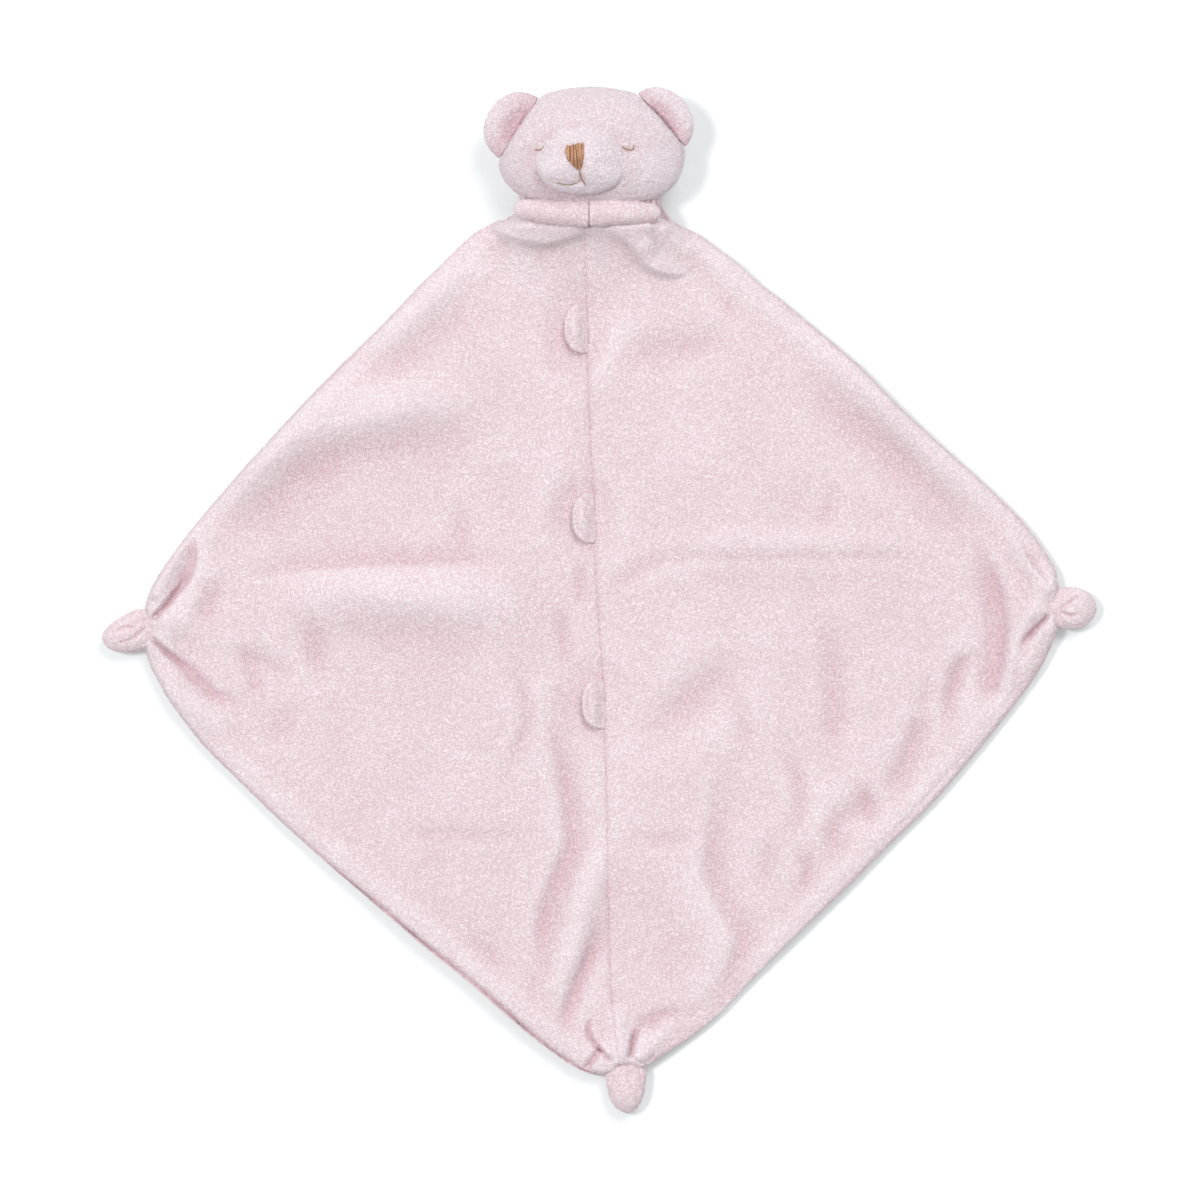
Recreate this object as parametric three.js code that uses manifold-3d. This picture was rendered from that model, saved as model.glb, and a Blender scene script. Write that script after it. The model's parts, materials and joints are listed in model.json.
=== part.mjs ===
// Comfort blanket with a small stuffed bear's head, lying face up with its head towards +Y.
// Millimetres, +Z up. The origin is on the floor under the middle of the part.

import * as THREE from "three";
import { mergeVertices } from "three/addons/utils/BufferGeometryUtils.js";
import Module from "manifold-3d";

const wasm = await Module();
wasm.setup();

// Clearances and cuts
const seatGap = 0.3; // between pieces that touch
const cutReach = 600; // a block this long cuts through the whole part
const floorCut = 0.5; // how deep the back of the head is flattened by the floor

// Blanket, measured from the middle of the part
const topReach = 170.4; // to the neck edge
const bottomReach = 216.5; // to the gather of the bottom corner
const leftReach = 208.4; // to the gather of the left corner
const rightReach = 210.2; // to the gather of the right corner
const leftCornerY = -13.3;
const rightCornerY = -2.8;
const bottomCornerX = 11;
const bottomCornerHalfWidth = 8;
const clothThickness = 3.6; // one layer with its pile
const edgeRadius = 4.2; // rounding of the turned edge
const edgeLip = 0.7; // thickness of one layer at the seam of the edge
const creaseX = 115; // where the side corners fold over
const wingRootWidth = 1.5; // narrowest row of a wing
const creaseFade = 18; // folds die out over this width beside a crease

// Neck edge of the blanket
const neckX = -4.6;
const leftShoulder = 45.4; // neck edge to the left of the neck's middle
const rightShoulder = 39.6;
const neckHingeZ = 22;
const swellLength = 30; // the front cloth climbs to the collar over this length
const swellHalfWidth = 44;

// Centre seam
const seamShift = 0.9; // seam at the neck edge, left of the neck's middle
const seamBottomX = 9.2; // seam at the bottom corner
const seamDip = 1.6; // depth of the valley along the seam
const seamValleyWidth = 4;
const seamThreadRadius = 0.5;

// Folds of the laid cloth
const broadFold = { width: 13, height: 5 };
const softFold = { width: 9, height: 4 };
const fineFold = { width: 6, height: 2.6 };

// Tabs in the centre seam
const tabHeight = 22.5;
const tabWidth = 10.6;
const tabThickness = 5;
const topTabShare = 0.733; // places along the reach above or below the middle
const middleTabShare = 0.221;
const bottomTabShare = -0.222;

// Gathered corner knobs
const knobHalfWidth = 9.5;
const knobHalfDepth = 6.5;
const knobNeckShare = 0.62; // pinched to this share of its width and depth
const knobAxisZ = 7;
const leftKnobLength = 19.9;
const rightKnobLength = 18.1;
const bottomKnobLength = 19;
const leftKnobDroop = THREE.MathUtils.degToRad(8); // towards the bottom corner
const rightKnobDroop = THREE.MathUtils.degToRad(-6);
const bottomKnobDroop = THREE.MathUtils.degToRad(4);
const tieRadius = 0.5; // thread wound round a gather
const tieInset = 1.2; // from the root of a knob to its thread

// Neck and collar
const neckLength = 14.8; // neck edge to the plane on which the head turns
const neckHalfWidth = 34.2;
const neckFlare = 8; // wider than that at the neck edge
const neckRootHalfDepth = 8.6;
const neckPinchShare = 0.1;
const collarRadius = 6.6;
const collarRise = 7.6; // neck edge to the middle of a bar
const collarLift = 7.5; // neck hinge up to the middle of a bar
const collarGap = 1.4; // between the bars

// Head
const headShift = 0.5; // right of the neck's middle
const headRise = 21.8; // turn plane to the head's middle
const headHalfWidth = 43.7;
const headHalfHeight = 28.5;
const headHalfDepth = 22;
const skinThickness = 1.8;

// Muzzle, nose and stitches
const muzzleShift = -3; // from the head's middle
const muzzleDrop = 6.5;
const muzzleLift = 14.5;
const muzzleHalfWidth = 20.5;
const muzzleHalfHeight = 15.5;
const muzzleHalfDepth = 16;
const noseShift = -4.6; // from the muzzle's middle
const noseRise = 3.5;
const noseWidth = 8.8;
const noseHeight = 12.4;
const noseThickness = 1.4;
const stitchWidth = 0.9;
const stitchHeight = 0.7;

// Ears
const earSeat = 33.4; // head's middle to the ear's base seam
const earSlide = 9.2; // base seam's middle, shifted towards the cheek
const earHalfWidth = 15.2;
const earRootRadius = 5;
const earReach = 15.2; // base seam to rim
const earHalfDepth = 4.6;
const leftEarAngle = THREE.MathUtils.degToRad(146.8);
const rightEarAngle = THREE.MathUtils.degToRad(38.6);

// Places that follow
const frontBottomZ = clothThickness + seatGap;
const clothTopZ = frontBottomZ + clothThickness;
const neckTopY = topReach + neckLength;
const turnPlaneY = neckTopY + seatGap;
const collarY = topReach + collarRise;
const collarZ = neckHingeZ + collarLift;
const headX = neckX + headShift;
const headY = neckTopY + headRise;
const headZ = headHalfDepth - floorCut;
const muzzleX = headX + muzzleShift;
const muzzleY = headY - muzzleDrop;
const muzzleZ = headZ + muzzleLift;
const noseX = muzzleX + noseShift;
const noseY = muzzleY + noseRise;

// Facet counts
const outlineSamples = 48;
const padSides = 24;
const padRings = 8;
const smallPadSides = 18;
const smallPadRings = 6;
const collarSides = 12;
const collarEndRings = 5;

// Materials
const plush = { color: 0xead7dc, roughness: 0.95, metalness: 0 };
const plushBack = { color: 0xe8d3d9, roughness: 0.95, metalness: 0 };
const stuffing = { color: 0xf6f4f0, roughness: 1, metalness: 0 };
const pinkThread = { color: 0xd9b9c1, roughness: 0.7, metalness: 0 };
const brownThread = { color: 0xa9784f, roughness: 0.55, metalness: 0 };
const tanThread = { color: 0xb99a6b, roughness: 0.6, metalness: 0 };

// The outline of each side: pairs of a height share and a width share, from the gathered corner
// towards the neck edge (upper) and towards the bottom corner (lower).
const leftSide = {
  reach: -leftReach,
  cornerY: leftCornerY,
  shoulderX: neckX - leftShoulder,
  bottomX: bottomCornerX - bottomCornerHalfWidth,
  upperShares: [
    [0, 1],
    [0.026, 1],
    [0.11, 0.982],
    [0.16, 0.948],
    [0.21, 0.907],
    [0.51, 0.608],
    [0.91, 0.146],
    [0.96, 0.088],
    [1, 0],
  ],
  lowerShares: [
    [0, 1],
    [0.04, 1],
    [0.083, 0.993],
    [0.128, 0.972],
    [0.174, 0.946],
    [0.22, 0.915],
    [0.31, 0.837],
    [0.49, 0.653],
    [0.67, 0.444],
    [0.85, 0.231],
    [0.942, 0.136],
    [0.985, 0.078],
    [1, 0.03],
  ],
};
const rightSide = {
  reach: rightReach,
  cornerY: rightCornerY,
  shoulderX: neckX + rightShoulder,
  bottomX: bottomCornerX + bottomCornerHalfWidth,
  upperShares: [
    [0, 1],
    [0.056, 1],
    [0.109, 0.985],
    [0.162, 0.953],
    [0.268, 0.869],
    [0.375, 0.751],
    [0.587, 0.533],
    [0.693, 0.422],
    [0.906, 0.168],
    [1, 0],
  ],
  lowerShares: [
    [0, 1],
    [0.045, 0.996],
    [0.085, 0.986],
    [0.128, 0.962],
    [0.215, 0.894],
    [0.389, 0.733],
    [0.47, 0.645],
    [0.643, 0.451],
    [0.816, 0.261],
    [0.902, 0.159],
    [0.96, 0.068],
    [1, 0],
  ],
};

// Ridges of the laid cloth, along shares of the reach on either side of the middle
const folds = [
  { ...softFold, pathShares: [[-0.66, 0.43], [-0.27, 0.54]] },
  { ...softFold, pathShares: [[-0.32, 0.84], [-0.46, 0.68]] },
  { ...broadFold, pathShares: [[-0.81, 0.03], [-0.5, 0.05], [-0.13, 0]] },
  { ...fineFold, pathShares: [[-0.9, -0.08], [-0.72, -0.13]] },
  { ...softFold, pathShares: [[-0.05, -0.22], [-0.03, -0.54]] },
  { ...softFold, pathShares: [[0, -0.6], [-0.09, -0.88]] },
  { ...softFold, pathShares: [[0.55, 0.59], [0.87, 0.16], [0.93, -0.04], [0.89, -0.17]] },
  { ...fineFold, pathShares: [[0.05, 0.11], [0.77, 0.11]] },
  { ...fineFold, pathShares: [[0.49, -0.04], [0.49, -0.34]] },
  { ...softFold, pathShares: [[0.25, -0.37], [0.25, -0.56], [0.31, -0.73], [0.22, -0.86], [0.1, -0.92]] },
];

const noseShares = [
  [-0.5, 0.2],
  [-0.43, 0.38],
  [-0.2, 0.49],
  [0.22, 0.5],
  [0.44, 0.4],
  [0.5, 0.16],
  [0.42, -0.2],
  [0.32, -0.47],
  [0.2, -0.5],
  [0.06, -0.4],
  [-0.28, -0.1],
];

// Stitches as shares of the head's half width and half height from its middle
const leftEyeShares = [[-0.6, 0.03], [-0.575, 0.004], [-0.545, 0], [-0.5, 0.049]];
const rightEyeShares = [[0.325, 0.07], [0.365, 0.018], [0.41, 0], [0.445, 0.049]];
const lipGrooveShares = [[-0.125, -0.322], [-0.105, -0.42], [-0.053, -0.548]];
const mouthShares = [[-0.391, -0.516], [-0.295, -0.548], [-0.19, -0.548], [-0.083, -0.49]];

// Across a cloth piece: column places as shares from its inner to its outer side
const panelColumnShares = [0, 0.035, 0.16, 0.32, 0.48, 0.64, 0.8, 0.93, 0.985, 1];
const wingColumnShares = [0, 0.2, 0.42, 0.64, 0.84, 0.96, 0.99, 1];
const backColumnShares = [0, 0.01, 0.04, 0.5, 0.96, 0.99, 1];
const backWingColumnShares = [0, 0.5, 0.955, 0.988, 1];

// Small helpers

function lerp(a, b, t) {
  return a + (b - a) * t;
}

function clamp01(t) {
  return Math.min(1, Math.max(0, t));
}

function smooth(t) {
  const c = clamp01(t);
  return c * c * (3 - 2 * c);
}

function tableValue(table, share) {
  for (let i = 1; i < table.length; i++) {
    const [s0, v0] = table[i - 1];
    const [s1, v1] = table[i];
    if (share <= s1) return lerp(v0, v1, clamp01((share - s0) / (s1 - s0)));
  }
  return table[table.length - 1][1];
}

function segmentDistance(x, y, ax, ay, bx, by) {
  const dx = bx - ax;
  const dy = by - ay;
  const length = dx * dx + dy * dy;
  const t = length > 0 ? clamp01(((x - ax) * dx + (y - ay) * dy) / length) : 0;
  return { distance: Math.hypot(x - ax - dx * t, y - ay - dy * t), t };
}

// Solids: closed geometry to manifold-3d and back

function solidOf(geometry) {
  const plain = geometry.index ? geometry.toNonIndexed() : geometry.clone();
  plain.deleteAttribute("normal");
  plain.deleteAttribute("uv");
  const merged = mergeVertices(plain, 1e-4);
  return new wasm.Manifold(
    new wasm.Mesh({
      numProp: 3,
      vertProperties: merged.attributes.position.array,
      triVerts: new Uint32Array(merged.index.array),
    }),
  );
}

function geometryOf(solid) {
  const mesh = solid.getMesh();
  const positions = new Float32Array(mesh.numVert * 3);
  for (let i = 0; i < mesh.numVert; i++) {
    positions.set(mesh.vertProperties.subarray(i * mesh.numProp, i * mesh.numProp + 3), i * 3);
  }
  const geometry = new THREE.BufferGeometry();
  geometry.setAttribute("position", new THREE.BufferAttribute(positions, 3));
  geometry.setIndex(new THREE.BufferAttribute(new Uint32Array(mesh.triVerts), 1));
  const flat = geometry.toNonIndexed();
  flat.computeVertexNormals();
  return flat;
}

// A closed skin from rings of equal length: each ring joins the next, and both ends are capped.
function ringedSolid(rings) {
  const count = rings[0].length;
  const positions = [];
  const indices = [];
  rings.forEach((ring) => ring.forEach((p) => positions.push(p.x, p.y, p.z)));
  for (let r = 0; r + 1 < rings.length; r++) {
    for (let i = 0; i < count; i++) {
      const a = r * count + i;
      const b = r * count + ((i + 1) % count);
      indices.push(a, b, a + count, b, b + count, a + count);
    }
  }
  const ends = [
    { ring: rings[0], start: 0, forward: false },
    { ring: rings[rings.length - 1], start: (rings.length - 1) * count, forward: true },
  ];
  ends.forEach(({ ring, start, forward }) => {
    const middle = ring.reduce((sum, p) => sum.add(p), new THREE.Vector3()).divideScalar(count);
    const pole = positions.length / 3;
    positions.push(middle.x, middle.y, middle.z);
    for (let i = 0; i < count; i++) {
      const a = start + i;
      const b = start + ((i + 1) % count);
      if (forward) indices.push(a, b, pole);
      else indices.push(b, a, pole);
    }
  });
  const geometry = new THREE.BufferGeometry();
  geometry.setAttribute("position", new THREE.Float32BufferAttribute(positions, 3));
  geometry.setIndex(indices);
  return solidOf(geometry);
}

// A layer of cloth from rows of points that each hold a top and a bottom height
function layerSolid(rows) {
  const columns = rows[0].length;
  const positions = [];
  const indices = [];
  rows.flat().forEach((p) => positions.push(p.x, p.y, p.top));
  rows.flat().forEach((p) => positions.push(p.x, p.y, p.bottom));
  const under = rows.length * columns;
  const leftToRight = rows[0][columns - 1].x > rows[0][0].x;
  const quad = (a, b, c, d) => {
    if (leftToRight) indices.push(a, b, c, a, c, d);
    else indices.push(a, c, b, a, d, c);
  };
  for (let r = 0; r + 1 < rows.length; r++) {
    for (let c = 0; c + 1 < columns; c++) {
      const a = r * columns + c;
      quad(a, a + 1, a + columns + 1, a + columns);
      quad(under + a, under + a + columns, under + a + columns + 1, under + a + 1);
    }
  }
  const rim = [];
  for (let c = 0; c < columns; c++) rim.push(c);
  for (let r = 1; r < rows.length; r++) rim.push(r * columns + columns - 1);
  for (let c = columns - 2; c >= 0; c--) rim.push((rows.length - 1) * columns + c);
  for (let r = rows.length - 2; r > 0; r--) rim.push(r * columns);
  rim.forEach((a, i) => {
    const b = rim[(i + 1) % rim.length];
    quad(under + a, under + b, b, a);
  });
  const geometry = new THREE.BufferGeometry();
  geometry.setAttribute("position", new THREE.Float32BufferAttribute(positions, 3));
  geometry.setIndex(indices);
  return solidOf(geometry);
}

// A stuffed pad: an outline swelling to both sides of its own plane, its poles along Z.
// halfSize(angle) is the outline's reach in that direction.
function padSolid(middle, halfSize, halfDepth, sides, rings) {
  const loops = [];
  for (let r = 0; r <= rings; r++) {
    const tilt = Math.PI * ((r + 0.3) / (rings + 0.6) - 0.5);
    const loop = [];
    for (let i = 0; i < sides; i++) {
      const angle = (2 * Math.PI * i) / sides;
      const reach = halfSize(angle) * Math.cos(tilt);
      loop.push(
        new THREE.Vector3(
          middle.x + reach * Math.cos(angle),
          middle.y + reach * Math.sin(angle),
          middle.z + halfDepth * Math.sin(tilt),
        ),
      );
    }
    loops.push(loop);
  }
  return ringedSolid(loops);
}

// Reach of an oval whose lower half is squarer than its upper half
function ovalReach(angle, halfWidth, upper, lower, upperPower, lowerPower) {
  const c = Math.abs(Math.cos(angle));
  const s = Math.sin(angle);
  const power = s > 0 ? upperPower : lowerPower;
  const height = s > 0 ? upper : lower;
  return ((c / halfWidth) ** power + (Math.abs(s) / height) ** power) ** (-1 / power);
}

// A block that fills all space on the far side of a plane, to be cut away
function beyondPlane(normal, distance, middle = new THREE.Vector3()) {
  const block = new THREE.BoxGeometry(cutReach, cutReach, cutReach);
  block.translate(0, 0, cutReach / 2);
  const turn = new THREE.Quaternion().setFromUnitVectors(new THREE.Vector3(0, 0, 1), normal);
  block.applyQuaternion(turn);
  const shift = middle.clone().addScaledVector(normal, distance);
  block.translate(shift.x, shift.y, shift.z);
  return solidOf(block);
}

function prism(points, bottomZ) {
  const shape = new THREE.Shape(points);
  const block = new THREE.ExtrudeGeometry(shape, { depth: cutReach, bevelEnabled: false });
  block.translate(0, 0, bottomZ);
  return solidOf(block);
}

// The outline of a sewn line of thread with rounded turns
function stitchOutline(points, width) {
  const curve = new THREE.SplineCurve(points);
  const steps = 3 * (points.length - 1);
  const near = [];
  const far = [];
  for (let i = 0; i <= steps; i++) {
    const p = curve.getPoint(i / steps);
    const along = curve.getTangent(i / steps);
    const side = new THREE.Vector2(-along.y, along.x).multiplyScalar(width / 2);
    near.push(p.clone().sub(side));
    far.unshift(p.clone().add(side));
  }
  return [...near, ...far];
}

const root = new THREE.Group();

function addPiece(name, solid, look) {
  const material = new THREE.MeshStandardMaterial(look);
  const mesh = new THREE.Mesh(geometryOf(solid), material);
  mesh.name = name;
  root.add(mesh);
}

// Blanket: outline

function edgeX(side, y) {
  if (y >= side.cornerY) {
    const share = (y - side.cornerY) / (topReach - side.cornerY);
    return lerp(side.shoulderX, side.reach, tableValue(side.upperShares, share));
  }
  const share = (side.cornerY - y) / (bottomReach + side.cornerY);
  return lerp(side.bottomX, side.reach, tableValue(side.lowerShares, share));
}

// The height above (end = topReach) or below the corner where the outline is this far out
function edgeY(side, width, end) {
  let inside = side.cornerY;
  let outside = end;
  for (let i = 0; i < outlineSamples; i++) {
    const middle = (inside + outside) / 2;
    if (Math.abs(edgeX(side, middle)) > width) inside = middle;
    else outside = middle;
  }
  return inside;
}

function outlineOf(side) {
  const points = [];
  for (let i = 0; i <= outlineSamples; i++) {
    const y = lerp(-bottomReach, topReach, i / outlineSamples);
    points.push([edgeX(side, y), y]);
  }
  return points;
}

leftSide.outline = outlineOf(leftSide);
rightSide.outline = outlineOf(rightSide);

function edgeDistance(x, y) {
  let nearest = cutReach;
  [leftSide, rightSide].forEach(({ outline }) => {
    for (let i = 1; i < outline.length; i++) {
      const [ax, ay] = outline[i - 1];
      const [bx, by] = outline[i];
      nearest = Math.min(nearest, segmentDistance(x, y, ax, ay, bx, by).distance);
    }
  });
  return nearest;
}

function edgeRound(x, y) {
  const inward = 1 - clamp01(edgeDistance(x, y) / edgeRadius);
  return Math.sqrt(1 - inward * inward);
}

// Blanket: heights

function seamX(y) {
  return lerp(seamBottomX, neckX - seamShift, (y + bottomReach) / (topReach + bottomReach));
}

function atShare([sx, sy]) {
  return [sx * (sx < 0 ? leftReach : rightReach), sy * (sy < 0 ? bottomReach : topReach)];
}

function tabY(share) {
  return share * (share < 0 ? bottomReach : topReach);
}

// Folds die out beside a crease and under the tabs, which lie on level cloth.
function foldFade(x, y) {
  let fade = smooth(Math.abs(Math.abs(x) - creaseX) / creaseFade);
  [topTabShare, middleTabShare, bottomTabShare].forEach((share) => {
    const away = Math.hypot(x - seamX(tabY(share)) + tabWidth / 2, y - tabY(share));
    fade *= smooth((away - tabHeight / 2) / tabWidth);
  });
  return fade;
}

function foldHeight(x, y) {
  let height = 0;
  folds.forEach((fold) => {
    const path = fold.pathShares.map(atShare);
    let nearest = cutReach;
    for (let i = 1; i < path.length; i++) {
      nearest = Math.min(nearest, segmentDistance(x, y, ...path[i - 1], ...path[i]).distance);
    }
    height = Math.max(height, fold.height * Math.exp(-((nearest / fold.width) ** 2)));
  });
  return height * foldFade(x, y);
}

function neckSwell(x, y) {
  const down = clamp01((topReach - y) / swellLength);
  const across = clamp01(1 - ((x - neckX) / swellHalfWidth) ** 2);
  const rise = neckHingeZ - seatGap - clothTopZ;
  return rise * (1 - down) ** 2 * Math.sqrt(across);
}

function seamValley(x, y) {
  const away = Math.abs(x - seamX(y)) / seamValleyWidth;
  return seamDip * (1 - smooth(away));
}

function frontTop(x, y) {
  const full = clothTopZ + Math.max(foldHeight(x, y), neckSwell(x, y)) - seamValley(x, y);
  const edge = frontBottomZ + edgeLip;
  return lerp(edge, full, edgeRound(x, y));
}

function frontPoint(x, y) {
  const top = frontTop(x, y);
  return { x, y, top, bottom: Math.max(frontBottomZ, top - clothThickness) };
}

function backPoint(x, y) {
  const edge = clothThickness - edgeLip;
  return { x, y, top: clothThickness, bottom: edge * (1 - edgeRound(x, y)) };
}

// Blanket: panels, as rows of points from the inner to the outer side

function rowHeights(stops, steps) {
  const heights = [stops[0]];
  steps.forEach((count, i) => {
    for (let k = 1; k <= count; k++) heights.push(lerp(stops[i], stops[i + 1], k / count));
  });
  return heights;
}

function clothRows(heights, inner, outer, shares, point) {
  return heights.map((y) => shares.map((share) => point(lerp(inner(y), outer(y), share), y)));
}

function panelHeights(side, steps) {
  const low = edgeY(side, creaseX, -bottomReach);
  const high = edgeY(side, creaseX, topReach);
  return rowHeights([-bottomReach, low, high, topReach - swellLength, topReach], steps);
}

function wingHeights(side, steps) {
  const low = edgeY(side, creaseX + wingRootWidth, -bottomReach);
  const high = edgeY(side, creaseX + wingRootWidth, topReach);
  const blunt = bottomCornerHalfWidth;
  return rowHeights([low, side.cornerY - blunt, side.cornerY + blunt, high], steps);
}

function addSide(name, side) {
  const sign = Math.sign(side.reach);
  const creaseInner = (creaseX - seatGap / 2) * sign;
  const creaseOuter = (creaseX + seatGap / 2) * sign;
  const seamSide = (y) => seamX(y) + (seamThreadRadius + seatGap) * sign;
  const panelSide = (y) => sign * Math.min(Math.abs(edgeX(side, y)), Math.abs(creaseInner));
  const wingSide = (y) => edgeX(side, y);
  const crease = () => creaseOuter;
  const panel = clothRows(
    panelHeights(side, [6, 11, 2, 5]),
    seamSide,
    panelSide,
    panelColumnShares,
    frontPoint,
  );
  const wing = clothRows(wingHeights(side, [6, 2, 6]), crease, wingSide, wingColumnShares, frontPoint);
  const backWing = clothRows(
    wingHeights(side, [6, 2, 6]),
    crease,
    wingSide,
    backWingColumnShares,
    backPoint,
  );
  addPiece("front_" + name + "_panel", layerSolid(panel), plush);
  addPiece(name + "_wing_front", layerSolid(wing), plush);
  addPiece(name + "_wing_back", layerSolid(backWing), plushBack);
}

function addBackPanel() {
  const inside = creaseX - seatGap / 2;
  const left = (y) => Math.max(edgeX(leftSide, y), -inside);
  const right = (y) => Math.min(edgeX(rightSide, y), inside);
  const low = Math.min(...[leftSide, rightSide].map((side) => edgeY(side, creaseX, -bottomReach)));
  const high = Math.max(...[leftSide, rightSide].map((side) => edgeY(side, creaseX, topReach)));
  const heights = rowHeights([-bottomReach, low, high, topReach], [5, 6, 4]);
  addPiece(
    "back_panel",
    layerSolid(clothRows(heights, left, right, backColumnShares, backPoint)),
    plushBack,
  );
}

// Centre seam thread, in the valley between the front panels

function addSeamThread() {
  const steps = 16;
  const path = [];
  for (let i = 0; i <= steps; i++) {
    const y = lerp(edgeRadius - bottomReach, topReach - edgeRadius, i / steps);
    const x = seamX(y);
    path.push(new THREE.Vector3(x, y, frontTop(x, y)));
  }
  const curve = new THREE.CatmullRomCurve3(path);
  const section = new THREE.Shape();
  section.absarc(0, 0, seamThreadRadius, 0, 2 * Math.PI);
  const thread = new THREE.ExtrudeGeometry(section, {
    steps: 2 * steps,
    curveSegments: 2,
    extrudePath: curve,
  });
  addPiece("centre_seam_thread", solidOf(thread), pinkThread);
}

// Half-round tabs, sewn into the seam and lying to its left

function addTab(name, y) {
  const root = tabThickness / 2;
  const lean = Math.atan2(seamX(y - tabHeight) - seamX(y), tabHeight);
  const middle = new THREE.Vector3(0, 0, 0);
  const reach = (angle) =>
    ovalReach(angle, tabHeight / 2, tabWidth - root, root, 2.3, 4);
  const pad = padSolid(middle, reach, tabThickness / 2, smallPadSides, smallPadRings);
  const place = new THREE.Matrix4().makeRotationZ(Math.PI / 2 + lean);
  place.setPosition(seamX(y) - root, y, clothTopZ + seatGap + tabThickness / 2);
  const laid = pad.transform(place.elements);
  const seamZ = clothTopZ + seatGap + tabThickness / 2;
  const up = new THREE.Vector3(0, 0, 1);
  const down = new THREE.Vector3(0, 0, -1);
  addPiece(name + "_tab_face", laid.subtract(beyondPlane(down, -seamZ - seatGap / 2)), plush);
  addPiece(name + "_tab_back", laid.subtract(beyondPlane(up, seamZ - seatGap / 2)), plush);
}

// Gathered corner knobs, each with the thread that gathers it

function addKnob(name, x, y, angle, droop, length) {
  const swellShares = [
    [0, knobNeckShare],
    [0.12, knobNeckShare],
    [0.26, 0.78],
    [0.42, 0.94],
    [0.58, 1],
    [0.76, 0.88],
    [0.92, 0.52],
    [1, 0.14],
  ];
  const loops = swellShares.map(([along, share]) => {
    const loop = [];
    for (let i = 0; i < collarSides; i++) {
      const turn = (2 * Math.PI * i) / collarSides;
      const forward = lerp(seatGap, length, along);
      const across = knobHalfWidth * share * Math.cos(turn);
      loop.push(new THREE.Vector3(forward, across, knobHalfDepth * share * Math.sin(turn)));
    }
    return loop;
  });
  const lean = new THREE.Matrix4().makeShear(Math.tan(droop), 0, 0, 0, 0, 0);
  const place = new THREE.Matrix4().makeRotationZ(angle).multiply(lean);
  place.setPosition(x, y, knobAxisZ);
  addPiece(name + "_corner_knob", ringedSolid(loops).transform(place.elements), plush);
  addPiece(name + "_corner_tie", tieRing().transform(place.elements), pinkThread);
}

// One turn of thread round the pinched root of a knob
function tieRing() {
  const clear = seatGap + tieRadius;
  const halfWidth = knobHalfWidth * knobNeckShare + clear;
  const halfDepth = knobHalfDepth * knobNeckShare + clear;
  const ring = new THREE.TorusGeometry(1, tieRadius, 5, 16);
  ring.rotateY(Math.PI / 2);
  const points = ring.attributes.position;
  for (let i = 0; i < points.count; i++) {
    const turn = Math.atan2(points.getZ(i) / halfDepth, points.getY(i) / halfWidth);
    const out = Math.hypot(points.getY(i), points.getZ(i)) - 1;
    const y = (halfWidth + out) * Math.cos(turn);
    const z = (halfDepth + out) * Math.sin(turn);
    points.setXYZ(i, points.getX(i) + tieInset, y, z);
  }
  return solidOf(ring);
}

// Neck: the blanket's gathered top, sewn round the underside of the head, and its rolled collar

function collarBar(outerX, innerX, grow) {
  const direction = Math.sign(innerX - outerX);
  const radius = collarRadius + grow;
  const start = outerX - grow * direction;
  const end = innerX + grow * direction;
  const turns = [];
  for (let i = 0; i < collarEndRings; i++) {
    turns.push((Math.PI / 2) * ((i + 0.3) / collarEndRings));
  }
  const startPlaces = turns.map((turn) => [start + radius * (1 - Math.cos(turn)) * direction, turn]);
  const endPlaces = turns.map((turn) => [end - radius * (1 - Math.cos(turn)) * direction, turn]);
  const loops = [...startPlaces, ...endPlaces.reverse()].map(([x, turn]) => {
    const size = radius * Math.sin(turn);
    const loop = [];
    for (let i = 0; i < collarSides; i++) {
      const around = (2 * Math.PI * i) / collarSides;
      const y = collarY + size * Math.cos(around) * direction;
      loop.push(new THREE.Vector3(x, y, collarZ + size * Math.sin(around)));
    }
    return loop;
  });
  return ringedSolid(loops);
}

function addNeck() {
  const steps = 6;
  const sides = 22;
  const bottomY = topReach + 2 * seatGap;
  const seatHalfWidth = Math.min(neckHalfWidth, headHalfWidth);
  const rootZ = neckHingeZ - seatGap - neckRootHalfDepth;
  const seatShare = Math.sqrt(1 - ((headY - neckTopY) / headHalfHeight) ** 2);
  const loops = [];
  for (let k = 0; k <= steps; k++) {
    const t = k / steps;
    const pinch = 1 - neckPinchShare * Math.sin(Math.PI * t);
    const flare = neckFlare * (1 - t) ** 3;
    const halfWidth = lerp(neckHalfWidth, seatHalfWidth, t) * pinch + flare;
    const halfDepth = lerp(neckRootHalfDepth, headHalfDepth * seatShare, t);
    const loop = [];
    for (let i = 0; i < sides; i++) {
      const turn = (2 * Math.PI * i) / sides;
      loop.push(
        new THREE.Vector3(
          neckX - halfWidth * Math.cos(turn),
          lerp(bottomY, neckTopY, t),
          lerp(rootZ, headZ, t) + halfDepth * Math.sin(turn),
        ),
      );
    }
    loops.push(loop);
  }
  const leftBar = [neckX - neckHalfWidth, seamX(topReach) - collarGap / 2];
  const rightBar = [neckX + neckHalfWidth, seamX(topReach) + collarGap / 2];
  const neck = ringedSolid(loops)
    .subtract(collarBar(...leftBar, seatGap))
    .subtract(collarBar(...rightBar, seatGap));
  addPiece("neck_gather", neck, plush);
  addPiece("collar_left", collarBar(...leftBar, 0), plush);
  addPiece("collar_right", collarBar(...rightBar, 0), plush);
}

// Head

const headMiddle = new THREE.Vector3(headX, headY, headZ);
const muzzleMiddle = new THREE.Vector3(muzzleX, muzzleY, muzzleZ);

function earBase(angle, side) {
  const normal = new THREE.Vector3(Math.cos(angle), Math.sin(angle), 0);
  const slide = new THREE.Vector3(-normal.y, normal.x, 0).multiplyScalar(earSlide * side);
  return { normal, middle: headMiddle.clone().add(slide).addScaledVector(normal, earSeat) };
}

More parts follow.
